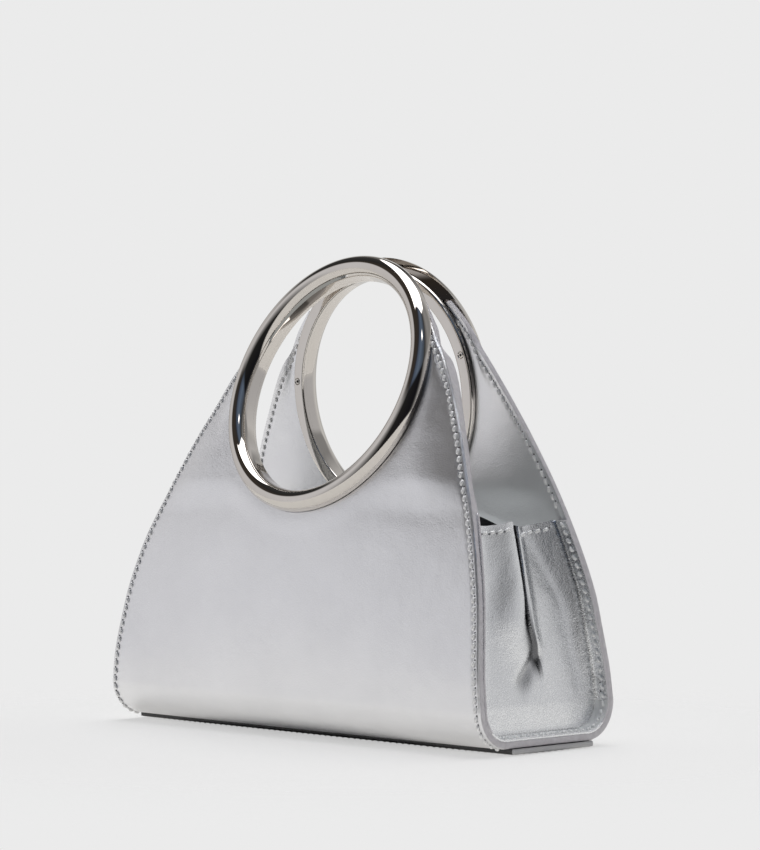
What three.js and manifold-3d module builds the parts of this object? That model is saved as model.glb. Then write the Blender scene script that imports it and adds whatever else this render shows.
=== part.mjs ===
// Small structured handbag: two leather panels clamped to ring handles, pleated end gussets,
// a base strip under the bottom and a black lining.
// Millimetres, +Z up, front toward -Y, length along X, the base strip's underside on z = 0.
import * as THREE from 'three';
import { mergeVertices } from 'three/addons/utils/BufferGeometryUtils.js';
import Module from 'manifold-3d';

const wasm = await Module();
wasm.setup();
const { clamp, degToRad, lerp, smoothstep: smooth } = THREE.MathUtils;

// Driving sizes
const FRONT = -1;
const BACK = 1;
const FIT_GAP = 0.3;
const PANEL_WALL = 2.8;
const GUSSET_WALL = 1.0;
const LINING_WALL = 1.0;
const STRIP_WALL = 2.0;
const STRIP_HALF_LENGTH = 110.3;
const STRIP_HALF_WIDTH = 22.6;
const STRIP_SHIFT = 1.5;
const BOTTOM_RADIUS = 15;
const PANEL_SEAM_GAP = 0.6;

// Ring handle section: radii from the ring axis, and heights above the leather's outer face
const RING_OUTER = 56;
const RING_BORE = 46.9;
const RING_HEIGHT = 5.4;
const SLEEVE_OUTER = 49.4;
const LEATHER_CUT = 50.3;
const PLATE_OUTER = 53.0;
const PLATE_WALL = 2.0;
// Shoulder of the casting: it fills the slot between bead and plate above the ends of the leather
const SHOULDER_OUTER = 53.2;
const SHOULDER_FROM = degToRad(45);
// The leather leaves the ring's plane between these distances beyond the bead
const BOW_START = 0.5;
const BOW_END = 11;
// Beside the ring that distance shrinks, between these heights
const BOW_END_HIGH = 4.5;
const BOW_CHANGE_Z = { from: 138, to: 152 };
// Above these heights the leather falls away only near its side edge
const EDGE_FALL = 26;
const EDGE_FALL_Z = { from: 90, to: 104 };
const SCREW_CIRCLE = 50.4;
const SCREW_RADIUS = 1.2;
const SCREW_HOLE = 1.5;
const SCREW_STEPS = 16;
const RING_STEPS = 60;
const BEAD_STEPS = 9;
// Screws of each plate, by their angle from the ring's level line
const SCREWS = [
  { hand: 'left', angle: degToRad(173) },
  { hand: 'right', angle: degToRad(16) },
];

// Where each ring stands: centre of the leather's outer face, and its lean toward the other ring
const RINGS = {
  [FRONT]: { y: -12.1, z: 142.9, lean: degToRad(19.7) },
  [BACK]: { y: 21.7, z: 140.3, lean: degToRad(6.7) },
};

// Panels by height: half width, and depth of each outer face at the side edge and in the middle
const SECTIONS = [
  { z: 17.3, half: 109.4, frontEdge: 38.1, frontMid: 39.5, backEdge: 38.0, backMid: 39.5 },
  { z: 30, half: 108.2, frontEdge: 37.7, frontMid: 39.3, backEdge: 37.3, backMid: 38.6 },
  { z: 45, half: 106.3, frontEdge: 35.6, frontMid: 38.6, backEdge: 35.4, backMid: 36.8 },
  { z: 60, half: 103.7, frontEdge: 33.0, frontMid: 36.9, backEdge: 33.8, backMid: 34.3 },
  { z: 80, half: 97.7, frontEdge: 28.6, frontMid: 33.4, backEdge: 30.8, backMid: 30.2 },
  { z: 100, half: 89.2, frontEdge: 22.8, frontMid: 27.5, backEdge: 28.2, backMid: 26.4 },
  { z: 120, half: 79.8, frontEdge: 16.9, frontMid: 20.3, backEdge: 24.4, backMid: 24.0 },
  { z: 135, half: 71.5, frontEdge: 12.1, frontMid: 14.9, backEdge: 21.7, backMid: 22.3 },
  { z: 148, half: 63.7, frontEdge: 8.7, frontMid: 10.2, backEdge: 19.3, backMid: 20.7 },
  { z: 158, half: 56.4, frontEdge: 5.4, frontMid: 6.6, backEdge: 18.4, backMid: 19.6 },
  { z: 168, half: 48.9, frontEdge: 2.3, frontMid: 3.1, backEdge: 18.0, backMid: 18.4 },
  { z: 176, half: 41.5, frontEdge: 0.2, frontMid: 0.3, backEdge: 17.4, backMid: 17.5 },
];
const ARC_CENTRE_Z = SECTIONS[0].z;
const PANEL_TOP_Z = SECTIONS[SECTIONS.length - 1].z;
const PANEL_SPLIT_Z = 74;
// Steps of a panel's grid: across it, round the bottom bend, up the wall, and up each edge above the split
const PANEL_STEPS = { across: 16, bend: 6, wall: 4, edge: 8 };
// Rows of its upper part as shares of the way from the ring cut-out to the outline
const UPPER_ROWS = [1, 0.66, 0.36, 0.14, 0];

// Gusset: flange turned out along the panel edge, and an inverted pleat down the middle of the web
const FLANGE = 6;
const FLANGE_GAP = 0.5;
const FOLD_RADIUS = 2;
const GUSSET_TOP_Z = 88;
// Heights between which the pleat closes
const PLEAT_Z = { from: 33, to: 59 };
// Line of the pleat's crease by height
const CREASE = [
  { z: 17.3, y: 4.2 },
  { z: 30, y: 3.2 },
  { z: 46, y: -0.8 },
  { z: 57, y: -1.2 },
  { z: 72, y: 0.4 },
  { z: 88, y: 3.2 },
];
// Web columns from the crease to the flange: offset in mm and depth of the tuck, then share of the half width
const PLEAT_COLUMNS = [
  { offset: 0.3, tuck: -3.4 },
  { offset: 0.9, tuck: -1.6 },
  { offset: 2.1, tuck: 0 },
  { offset: 3.6, tuck: 0 },
  { offset: 6.5, tuck: 0 },
];
const WEB_SHARES = [0.45, 0.75, 1];
// Rows of the web: angles down its rounded bottom corners, then steps up to its top
const WEB_CORNER_ANGLES = [90, 60, 30];
const WEB_WALL_STEPS = 9;
// Lips beside the pleat: distance from the crease and width, low and high, then the rise, the heights over
// which it grows, and the share of it left at the top
const LIPS = {
  [FRONT]: {
    low: { at: 7, width: 11 },
    high: { at: 4, width: 8 },
    rise: 3.4,
    grow: { from: 24, to: 54 },
    left: 0.55,
  },
  [BACK]: {
    low: { at: 1.8, width: 3.5 },
    high: { at: 1.8, width: 3.5 },
    rise: 1.8,
    grow: { from: 26, to: 46 },
    left: 1,
  },
};
const LIP_CHANGE_Z = { from: 48, to: 66 };
const LIP_FADE_Z = { from: 48, to: 92 };
// Hollows between the lips and the flanges
const FRONT_HOLLOW = { depth: 1.2, width: 9 };
const BACK_HOLLOW = { steep: 0.42, fall: 0.08, low: { near: 2, far: 10 }, high: { near: 6, far: 16 } };
const BACK_HOLLOW_Z = { from: 50, to: 80 };
const HOLLOW_FULL_Z = 45;
const RELIEF_EASE = 9;
// Rows of the fold and the flange: steps outward as shares of the fold radius, and along the bag in mm
const FOLD_ROWS = [
  { out: 0.3, along: 0.12 },
  { out: 0.94, along: 1.4 },
  { out: 1, along: 3.6 },
  { out: 1, along: FLANGE },
];
// Height from which the web sags toward its top edge
const SAG_FROM_Z = 50;
// Top edge of the gusset across its width, from front flange to back flange
const TOP_EDGE = [
  { across: -1.0, z: 90.2 },
  { across: -0.85, z: 86.0 },
  { across: -0.4, z: 85.8 },
  { across: -0.02, z: 86.9 },
  { across: 0.16, z: 84.6 },
  { across: 0.5, z: 85.2 },
  { across: 0.85, z: 86.4 },
  { across: 1.0, z: 87.2 },
];

// Lining: how far it stays from the gusset, and where its rim runs
const LINING_END_INSET = 19;
const LINING_RIM_FRONT = 72;
const LINING_RIM_BACK = 90;
const LINING_RIM_TURN = 14;
const LINING_RIM_DIP = 12;
const LINING_RIM_FLAT = 47;
const LINING_RIM_FALL = 34;
const LINING_SQUARENESS = 0.15;
const LINING_FLOOR_Z = 6.2;
const LINING_STEPS = 40;
// Rows of the lining as shares: from its floor to the end of the bottom bend, then on to the rim
const LINING_BEND_ROWS = [0, 0.2, 0.5, 1];
const LINING_WALL_ROWS = [0.4, 0.75, 1];

// Limits for points that count as one, for rims that count as level, and for the slant of a sharp fold
const MERGE_LIMIT = 1e-4;
const LEVEL_LIMIT = 0.01;
const FACING_LIMIT = 0.6;

const rise = (value, { from, to }) => smooth(value, from, to);

// Smooth value of one column of a table whose rows rise along a key
function sample(table, key, column, at) {
  const last = table.length - 1;
  let i = 0;
  while (i < last - 1 && at > table[i + 1][key]) i += 1;
  const slope = (k) => {
    const a = table[Math.max(k - 1, 0)];
    const b = table[Math.min(k + 1, last)];
    return (b[column] - a[column]) / (b[key] - a[key]);
  };
  const lo = table[i];
  const hi = table[i + 1];
  const span = hi[key] - lo[key];
  const t = clamp((at - lo[key]) / span, 0, 1);
  const h = t * t * (3 - 2 * t);
  const ease = slope(i) * span * t * (1 - t) * (1 - t) - slope(i + 1) * span * t * t * (1 - t);
  return lo[column] * (1 - h) + hi[column] * h + ease;
}

const halfWidth = (z) => sample(SECTIONS, 'z', 'half', z);
const edgeDepth = (side, z) => sample(SECTIONS, 'z', side === FRONT ? 'frontEdge' : 'backEdge', z);
const midDepth = (side, z) => sample(SECTIONS, 'z', side === FRONT ? 'frontMid' : 'backMid', z);

// Point of a ring's own frame: distance from its axis, angle in its plane, height above the leather
function ringPoint(side, radius, angle, height) {
  const ring = RINGS[side];
  const along = radius * Math.sin(angle);
  return new THREE.Vector3(
    radius * Math.cos(angle),
    ring.y - side * Math.sin(ring.lean) * along + side * Math.cos(ring.lean) * height,
    ring.z + Math.cos(ring.lean) * along + Math.sin(ring.lean) * height,
  );
}

// Outward depth of a panel's outer face: flat under the ring, bowed between the side edges elsewhere
function panelDepth(side, x, z) {
  const ring = RINGS[side];
  const half = halfWidth(z);
  const even = Math.min(Math.abs(x) / half, 1) ** 2;
  const atEdge = clamp(1 - (half - Math.abs(x)) / EDGE_FALL, 0, 1) ** 2;
  const bow = lerp(even, atEdge, rise(z, EDGE_FALL_Z));
  const bowed = lerp(midDepth(side, z), edgeDepth(side, z), bow);
  const flat = side * ring.y + (ring.z - z) * Math.tan(ring.lean);
  const reach = Math.hypot(x, (z - ring.z) / Math.cos(ring.lean));
  const bowEnd = lerp(BOW_END, BOW_END_HIGH, rise(z, BOW_CHANGE_Z));
  return lerp(flat, bowed, smooth(reach, RING_OUTER + BOW_START, RING_OUTER + bowEnd));
}

// Outer face of a panel by its run: wall above the bottom bend for run >= 0, bend and under-lap below 0
function panelPoint(side, x, run) {
  const z = ARC_CENTRE_Z + Math.max(run, 0);
  const angle = clamp(-run / BOTTOM_RADIUS, 0, Math.PI / 2);
  const lap = Math.max(-run - BOTTOM_RADIUS * Math.PI / 2, 0);
  const y = panelDepth(side, x, z) - BOTTOM_RADIUS * (1 - Math.cos(angle)) - lap;
  return new THREE.Vector3(x, side * y, z - BOTTOM_RADIUS * Math.sin(angle));
}

// Geometry from points and faces, turned so that it faces outward
function solidGeometry(points, faces) {
  const flat = points.flatMap((p) => [p.x, p.y, p.z]);
  const tris = faces.flatMap((f) => (f.length === 4 ? [f[0], f[1], f[2], f[0], f[2], f[3]] : f));
  let volume = 0;
  const cross = new THREE.Vector3();
  for (let i = 0; i < tris.length; i += 3) {
    cross.crossVectors(points[tris[i + 1]], points[tris[i + 2]]);
    volume += points[tris[i]].dot(cross);
  }
  if (volume < 0) tris.reverse();
  const geometry = new THREE.BufferGeometry();
  geometry.setAttribute('position', new THREE.Float32BufferAttribute(flat, 3));
  geometry.setIndex(tris);
  return geometry;
}

// Closed sheet from an open surface: a second skin set back along the normals, and the rim closed
function thicken(points, faces, wall) {
  const faceNormals = faces.map((f) => {
    const a = points[f[2]].clone().sub(points[f[0]]);
    const b = points[f[f.length - 1]].clone().sub(points[f[1]]);
    return a.cross(b).normalize();
  });
  const touching = points.map(() => []);
  faces.forEach((f, k) => f.forEach((v) => touching[v].push(faceNormals[k])));
  const inner = points.map((p, v) => {
    const normal = new THREE.Vector3();
    touching[v].forEach((n) => normal.add(n));
    normal.normalize();
    const facing = touching[v].reduce((sum, n) => sum + n.dot(normal), 0) / touching[v].length;
    return p.clone().addScaledVector(normal, -wall / Math.max(facing, FACING_LIMIT));
  });
  const count = points.length;
  const edges = new Set();
  faces.forEach((f) => f.forEach((v, k) => edges.add(`${v} ${f[(k + 1) % f.length]}`)));
  const rim = [...edges].map((e) => e.split(' ').map(Number)).filter(([a, b]) => !edges.has(`${b} ${a}`));
  const closed = [
    ...faces,
    ...faces.map((f) => f.map((v) => v + count).reverse()),
    ...rim.map(([a, b]) => [b, a, a + count, b + count]),
  ];
  return solidGeometry([...points, ...inner], closed);
}

// Turned solid around a ring's axis; sectionAt gives the closed section of { r, h } points at an angle
function turned(side, sectionAt) {
  const points = [];
  const faces = [];
  const n = sectionAt(0).length;
  for (let i = 0; i < RING_STEPS; i += 1) {
    const angle = (i / RING_STEPS) * Math.PI * 2;
    sectionAt(angle).forEach((s) => points.push(ringPoint(side, s.r, angle, s.h)));
    const here = i * n;
    const next = ((i + 1) % RING_STEPS) * n;
    for (let k = 0; k < n; k += 1) {
      const after = (k + 1) % n;
      faces.push([here + k, next + k, next + after, here + after]);
    }
  }
  return solidGeometry(points, faces);
}

// Rows of points joined into a surface; each row has the same count
function gridFaces(rows, columns, start = 0) {
  const faces = [];
  for (let i = 0; i < rows - 1; i += 1) {
    for (let j = 0; j < columns - 1; j += 1) {
      const a = start + i * columns + j;
      faces.push([a, a + 1, a + columns + 1, a + columns]);
    }
  }
  return faces;
}

// Front or back panel: a lower part in rows across, and an upper part in rows around the ring cut-out
function panelGeometry(side) {
  const { across, bend: bendSteps, wall: wallSteps, edge: edgeSteps } = PANEL_STEPS;
  const points = [];
  const seam = side * STRIP_SHIFT + PANEL_SEAM_GAP / 2;
  const bend = BOTTOM_RADIUS * Math.PI / 2;
  const lapEnd = -bend - (panelDepth(side, 0, ARC_CENTRE_Z) - BOTTOM_RADIUS - seam);
  const runs = [lapEnd];
  for (let i = 0; i <= bendSteps; i += 1) runs.push(-bend * (1 - i / bendSteps));
  for (let i = 1; i <= wallSteps; i += 1) runs.push((PANEL_SPLIT_Z - ARC_CENTRE_Z) * i / wallSteps);
  runs.forEach((run) => {
    const half = halfWidth(ARC_CENTRE_Z + Math.max(run, 0));
    for (let j = 0; j <= across; j += 1) {
      const p = panelPoint(side, half * (2 * j / across - 1), run);
      if (run === lapEnd) p.y = side * seam;
      points.push(p);
    }
  });
  const faces = gridFaces(runs.length, across + 1);

  // Outer line of the upper part: down the left edge, along the split row, up the right edge
  const ring = RINGS[side];
  const outline = [];
  for (let i = edgeSteps; i > 0; i -= 1) {
    const z = lerp(PANEL_SPLIT_Z, PANEL_TOP_Z, i / edgeSteps);
    outline.push({ x: -halfWidth(z), z });
  }
  for (let j = 0; j <= across; j += 1) {
    outline.push({ x: halfWidth(PANEL_SPLIT_Z) * (2 * j / across - 1), z: PANEL_SPLIT_Z });
  }
  outline.slice(0, edgeSteps).reverse().forEach(({ x, z }) => outline.push({ x: -x, z }));
  const splitRow = (runs.length - 1) * (across + 1);
  const grid = UPPER_ROWS.map((share, k) => outline.map((o, j) => {
    if (k === 0 && j >= edgeSteps && j <= edgeSteps + across) return splitRow + j - edgeSteps;
    const angle = Math.atan2((o.z - ring.z) / Math.cos(ring.lean), o.x);
    const cut = ringPoint(side, LEATHER_CUT, angle, 0);
    const x = lerp(cut.x, o.x, share);
    const z = lerp(cut.z, o.z, share);
    points.push(new THREE.Vector3(x, side * panelDepth(side, x, z), z));
    return points.length - 1;
  }));
  for (let k = 0; k < UPPER_ROWS.length - 1; k += 1) {
    for (let j = 0; j < outline.length - 1; j += 1) {
      faces.push([grid[k][j], grid[k][j + 1], grid[k + 1][j + 1], grid[k + 1][j]]);
    }
  }
  const facing = side === FRONT ? faces : faces.map((f) => f.slice().reverse());
  return thicken(points, facing, PANEL_WALL);
}

// Depth in Y of the gusset's web edge, the panel edge set in by the walls and the fold
const WEB_INSET = PANEL_WALL + FLANGE_GAP + GUSSET_WALL + FOLD_RADIUS;
const WEB_CORNER = BOTTOM_RADIUS - WEB_INSET;
function webEdge(side, z) {
  const lean = edgeDepth(side, z + 0.5) - edgeDepth(side, z - 0.5);
  if (z >= ARC_CENTRE_Z) return side * (edgeDepth(side, z) - WEB_INSET * Math.hypot(1, lean));
  const down = ARC_CENTRE_Z - z;
  const reach = Math.sqrt(Math.max(WEB_CORNER ** 2 - down ** 2, 0));
  return side * (edgeDepth(side, ARC_CENTRE_Z) - BOTTOM_RADIUS + reach);
}

const creaseY = (z) => sample(CREASE, 'z', 'y', z);

// Depth reached at a distance from the flange: steep beside it, easing to a slow fall back
function flangeRise(room, near, far) {
  const { steep, fall } = BACK_HOLLOW;
  const share = clamp((room - near) / (far - near), 0, 1);
  const eased = (far - near) * (share ** 3 - share ** 4 / 2) + Math.max(room - far, 0);
  return steep * room - (steep + fall) * eased;
}

// Depth of the hollow beside a flange; behind the pleat it starts from the front hollow's depth
function webHollow(side, y, z) {
  const room = Math.abs(webEdge(side, z) - y);
  const { depth, width } = FRONT_HOLLOW;
  if (side === FRONT) return depth * (1 - (1 - Math.min(room / width, 1)) ** 2);
  const { low, high } = BACK_HOLLOW;
  const up = rise(z, BACK_HOLLOW_Z);
  const deep = flangeRise(room, lerp(low.near, high.near, up), lerp(low.far, high.far, up));
  return lerp(depth, deep, smooth(y - creaseY(z), 0, width));
}

// How far the web stands out from its plane beside the pleat: a lip on each side, and a hollow toward
// each flange
function webRelief(side, y, z) {
  const { low, high, rise: full, grow, left } = LIPS[side];
  const room = Math.abs(webEdge(side, z) - y);
  const up = rise(z, LIP_CHANGE_Z);
  const away = Math.abs(y - creaseY(z)) - lerp(low.at, high.at, up);
  const lip = full * rise(z, grow) * lerp(1, left, rise(z, LIP_FADE_Z));
  const crown = lip * Math.exp(-((away / lerp(low.width, high.width, up)) ** 2));
  return crown * smooth(room, 0, RELIEF_EASE) - webHollow(side, y, z) * smooth(z, 0, HOLLOW_FULL_Z);
}

// Web of the gusset in rows of height, each row from the front flange to the back flange
function webRows() {
  const heights = WEB_CORNER_ANGLES.map((a) => ARC_CENTRE_Z - WEB_CORNER * Math.sin(degToRad(a)));
  for (let i = 0; i <= WEB_WALL_STEPS; i += 1) {
    heights.push(lerp(ARC_CENTRE_Z, GUSSET_TOP_Z, i / WEB_WALL_STEPS));
  }
  const half = (side) => [
    ...PLEAT_COLUMNS.map(({ offset, tuck }) => ({ side, tuck, yAt: (z) => creaseY(z) + side * offset })),
    ...WEB_SHARES.map((share) => ({ side, tuck: 0, yAt: (z) => lerp(creaseY(z), webEdge(side, z), share) })),
  ];
  const columns = [...half(FRONT).reverse(), ...half(BACK)];
  return heights.map((level) => columns.map(({ side, tuck, yAt }) => {
    const front = webEdge(FRONT, level);
    const back = webEdge(BACK, level);
    const place = (2 * yAt(level) - front - back) / (back - front);
    const drop = sample(TOP_EDGE, 'across', 'z', place) - GUSSET_TOP_Z;
    const z = level + drop * smooth(level, SAG_FROM_Z, GUSSET_TOP_Z);
    const y = yAt(z);
    const relief = tuck * rise(z, PLEAT_Z) + webRelief(side, y, z);
    return new THREE.Vector3(halfWidth(Math.max(z, ARC_CENTRE_Z)) - FLANGE + relief, y, z);
  }));
}

// Gusset at one end: web, rounded fold and a flange along the front, bottom and back panel edges
function gussetGeometry(end) {
  const rows = webRows();
  const columns = rows[0].length;
  const points = rows.flat();
  const faces = gridFaces(rows.length, columns);
  const rim = [];
  for (let i = rows.length - 1; i > 0; i -= 1) rim.push(i * columns);
  for (let j = 0; j < columns; j += 1) rim.push(j);
  for (let i = 1; i < rows.length; i += 1) rim.push(i * columns + columns - 1);
  const outward = rim.map((v) => {
    const p = points[v];
    const low = p.z < ARC_CENTRE_Z;
    const side = p.y < 0 ? FRONT : BACK;
    const centre = side * (edgeDepth(side, ARC_CENTRE_Z) - BOTTOM_RADIUS);
    const arm = new THREE.Vector3(0, low ? p.y - centre : side, low ? p.z - ARC_CENTRE_Z : 0);
    if (low && Math.abs(p.y) <= Math.abs(centre) + LEVEL_LIMIT) arm.set(0, 0, -1);
    return arm.normalize();
  });
  let last = rim;
  FOLD_ROWS.forEach(({ out, along }) => {
    const ring = rim.map((v, k) => {
      const p = points[v].clone().addScaledVector(outward[k], out * FOLD_RADIUS);
      p.x += along;
      points.push(p);
      return points.length - 1;
    });
    for (let k = 0; k < rim.length - 1; k += 1) faces.push([last[k], ring[k], ring[k + 1], last[k + 1]]);
    last = ring;
  });
  points.forEach((p) => { p.x *= end; });
  const facing = end > 0 ? faces : faces.map((f) => f.slice().reverse());
  return thicken(points, facing, GUSSET_WALL);
}

// Half-round bead with a bore sleeve that passes through the leather, and its shoulder above the leather
function ringSection(angle) {
  const high = angle > SHOULDER_FROM && angle < Math.PI - SHOULDER_FROM;
  const outer = high ? SHOULDER_OUTER : SLEEVE_OUTER;
  const middle = (RING_OUTER + RING_BORE) / 2;
  const reach = (RING_OUTER - RING_BORE) / 2;
  const section = [];
  for (let i = 0; i <= BEAD_STEPS; i += 1) {
    const a = Math.PI * i / BEAD_STEPS;
    section.push({ r: middle + reach * Math.cos(a), h: FIT_GAP + (RING_HEIGHT - FIT_GAP) * Math.sin(a) });
  }
  section.push({ r: RING_BORE, h: -PANEL_WALL });
  section.push({ r: outer, h: -PANEL_WALL });
  section.push({ r: outer, h: FIT_GAP });
  return section;
}

const PLATE_NEAR = -PANEL_WALL - FIT_GAP;
const PLATE_FAR = PLATE_NEAR - PLATE_WALL;
function plateSection() {
  return [
    { r: PLATE_OUTER, h: PLATE_NEAR },
    { r: RING_BORE, h: PLATE_NEAR },
    { r: RING_BORE, h: PLATE_FAR },
    { r: PLATE_OUTER, h: PLATE_FAR },
  ];
}

// Round bar along a ring's axis at a screw's place, between two heights over the leather
function screwBar(side, angle, radius, bottom, top) {
  const geometry = new THREE.CylinderGeometry(radius, radius, top - bottom, SCREW_STEPS);
  const place = ringPoint(side, SCREW_CIRCLE, angle, (bottom + top) / 2);
  const axis = ringPoint(side, 0, 0, 1).sub(ringPoint(side, 0, 0, 0));
  const turn = new THREE.Quaternion().setFromUnitVectors(new THREE.Vector3(0, 1, 0), axis);
  return geometry.applyQuaternion(turn).translate(place.x, place.y, place.z);
}

function toManifold(geometry) {
  const plain = geometry.clone();
  plain.deleteAttribute('normal');
  plain.deleteAttribute('uv');
  const merged = mergeVertices(plain, MERGE_LIMIT);
  const vertProperties = new Float32Array(merged.attributes.position.array);
  const triVerts = new Uint32Array(merged.index.array);
  return new wasm.Manifold(new wasm.Mesh({ numProp: 3, vertProperties, triVerts }));
}

function fromManifold(solid) {
  const mesh = solid.getMesh();
  const geometry = new THREE.BufferGeometry();
  geometry.setAttribute('position', new THREE.BufferAttribute(new Float32Array(mesh.vertProperties), 3));
  geometry.setIndex(Array.from(mesh.triVerts));
  return geometry;
}

function plateGeometry(side) {
  const bottom = PLATE_FAR - PLATE_WALL;
  const top = PLATE_NEAR + PLATE_WALL;
  const cut = ({ angle }) => toManifold(screwBar(side, angle, SCREW_HOLE, bottom, top));
  const plate = toManifold(turned(side, plateSection));
  return fromManifold(SCREWS.reduce((left, screw) => left.subtract(cut(screw)), plate));
}

// Lining pouch: rounded loops from the floor to the rim, outside and inside, and a flat floor
function liningGeometry() {
  const wallInset = PANEL_WALL + PLATE_WALL + 3 * FIT_GAP;
  const bend = BOTTOM_RADIUS - wallInset;
  const square = (value) => Math.sign(value) * Math.abs(value) ** LINING_SQUARENESS;
  const place = (turn, z, inset) => {
    const level = Math.max(z, ARC_CENTRE_Z);
    const pull = bend - Math.sqrt(Math.max(bend ** 2 - (level - z) ** 2, 0));
    const side = Math.sin(turn) < 0 ? FRONT : BACK;
    const x = square(Math.cos(turn)) * (halfWidth(level) - LINING_END_INSET - inset);
    const y = square(Math.sin(turn)) * (panelDepth(side, x, level) - wallInset - pull - inset);
    return new THREE.Vector3(x, y, z);
  };
  const rimAt = (turn) => {
    const p = place(turn, LINING_RIM_FRONT, 0);
    const fall = smooth(Math.abs(p.x), LINING_RIM_FLAT, LINING_RIM_FLAT + LINING_RIM_FALL);
    const back = smooth(p.y, -LINING_RIM_TURN, LINING_RIM_TURN);
    return lerp(LINING_RIM_FRONT, LINING_RIM_BACK, back) - LINING_RIM_DIP * fall;
  };
  const turns = Array.from({ length: LINING_STEPS }, (_, i) => (i / LINING_STEPS) * Math.PI * 2);
  const skin = (inset) => [
    ...LINING_BEND_ROWS.map((share) => turns.map((turn) => {
      const p = place(turn, lerp(LINING_FLOOR_Z, ARC_CENTRE_Z, share), inset);
      if (share === 0) p.z += inset;
      return p;
    })),
    ...LINING_WALL_ROWS.map((share) => turns.map((turn) => {
      const z = lerp(ARC_CENTRE_Z, rimAt(turn), share);
      return place(turn, z, inset);
    })),
  ];
  const loops = [...skin(0), ...skin(LINING_WALL).reverse()];
  const points = loops.flat();
  const faces = [];
  const n = LINING_STEPS;
  for (let k = 0; k < loops.length - 1; k += 1) {
    for (let i = 0; i < n; i += 1) {
      const j = (i + 1) % n;
      faces.push([k * n + i, k * n + j, (k + 1) * n + j, (k + 1) * n + i]);
    }
  }
  const cap = (start, z, flip) => {
    points.push(new THREE.Vector3(0, 0, z));
    for (let i = 0; i < n; i += 1) {
      const a = start + i;
      const b = start + (i + 1) % n;
      faces.push(flip ? [points.length - 1, b, a] : [points.length - 1, a, b]);
    }
  };
  cap(0, LINING_FLOOR_Z, true);
  cap((loops.length - 1) * n, LINING_FLOOR_Z + LINING_WALL, false);
  return solidGeometry(points, faces);
}

const silverLeather = new THREE.MeshStandardMaterial({ color: 0xc4c4c8, roughness: 0.38, metalness: 0.85 });
const gussetLeather = new THREE.MeshStandardMaterial({ color: 0xb8bbbd, roughness: 0.35, metalness: 0.85 });
const stripLeather = new THREE.MeshStandardMaterial({ color: 0xa3a3a6, roughness: 0.45, metalness: 0.7 });
const blackLining = new THREE.MeshStandardMaterial({ color: 0x16161a, roughness: 0.9, metalness: 0.0 });
const nickel = new THREE.MeshStandardMaterial({ color: 0xd8d2cb, roughness: 0.08, metalness: 1.0 });

const bag = new THREE.Group();
function addPiece(name, geometry, material) {
  const mesh = new THREE.Mesh(geometry, material);
  mesh.name = name;
  bag.add(mesh);
  return mesh;
}

const strip = new THREE.BoxGeometry(2 * STRIP_HALF_LENGTH, 2 * STRIP_HALF_WIDTH, STRIP_WALL);
addPiece('base_panel', strip, stripLeather).position.set(0, STRIP_SHIFT, STRIP_WALL / 2);
addPiece('lining', liningGeometry(), blackLining);
[{ end: -1, name: 'left' }, { end: 1, name: 'right' }].forEach(({ end, name }) => {
  addPiece(`gusset_${name}`, gussetGeometry(end), gussetLeather);
});
[{ side: FRONT, name: 'front' }, { side: BACK, name: 'back' }].forEach(({ side, name }) => {
  addPiece(`${name}_panel`, panelGeometry(side), silverLeather);
  addPiece(`${name}_ring`, turned(side, ringSection), nickel);
  addPiece(`${name}_ring_plate`, plateGeometry(side), nickel);
  SCREWS.forEach(({ hand, angle }) => {
    addPiece(`${name}_screw_${hand}`, screwBar(side, angle, SCREW_RADIUS, PLATE_FAR, PLATE_NEAR), nickel);
  });
});

export default bag;
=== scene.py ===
"""Studio picture of a small silver leather handbag with clamped ring handles."""
import math

import bpy
import numpy as np
from mathutils import Matrix, Vector


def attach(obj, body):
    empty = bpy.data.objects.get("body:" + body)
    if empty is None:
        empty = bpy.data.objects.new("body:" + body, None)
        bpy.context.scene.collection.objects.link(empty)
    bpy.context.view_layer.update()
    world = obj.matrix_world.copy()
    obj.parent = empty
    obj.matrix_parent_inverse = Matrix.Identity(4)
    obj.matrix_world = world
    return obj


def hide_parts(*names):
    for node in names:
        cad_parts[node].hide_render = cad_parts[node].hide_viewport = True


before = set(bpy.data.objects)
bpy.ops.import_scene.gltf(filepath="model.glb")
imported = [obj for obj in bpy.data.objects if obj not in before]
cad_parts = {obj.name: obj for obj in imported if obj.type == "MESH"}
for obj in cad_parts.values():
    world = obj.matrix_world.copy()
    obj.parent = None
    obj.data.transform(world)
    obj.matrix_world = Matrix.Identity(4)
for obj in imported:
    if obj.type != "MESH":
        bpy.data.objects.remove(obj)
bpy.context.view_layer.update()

# Shapes are worked out in millimetres and stored in metres
MM = 0.001
FRONT = -1
BACK = 1
SIDES = {"front": FRONT, "back": BACK}
HANDS = {"left": -1, "right": 1}

# Driving sizes
FIT_GAP = 0.3
PANEL_WALL = 2.8
GUSSET_WALL = 1.0
LINING_WALL = 1.0
STRIP_WALL = 2.0
STRIP_HALF_LENGTH = 110.3
STRIP_HALF_WIDTH = 22.6
STRIP_SHIFT = 1.5
BOTTOM_RADIUS = 15
PANEL_SEAM_GAP = 0.1

# Ring handle section: radii from the ring axis, and heights above the leather's outer face
RING_OUTER = 56
RING_BORE = 46.9
RING_HEIGHT = 5.4
SLEEVE_OUTER = 49.4
LEATHER_CUT = 50.3
PLATE_OUTER = 53.0
PLATE_WALL = 2.0
PLATE_NEAR = -PANEL_WALL - FIT_GAP
PLATE_FAR = PLATE_NEAR - PLATE_WALL
PLATE_ROUNDING = 0.9
PLATE_OUTER_ROUNDING = 1.6 * PLATE_ROUNDING
CORNER_STEPS = 9
SLEEVE_GAP = 0.02
RING_STEPS = 224
BEAD_STEPS = 40
# Shoulder of the casting: it fills the slot between bead and plate above the ends of the leather
SHOULDER_OUTER = 53.2
SHOULDER_FROM = math.radians(43)
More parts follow.
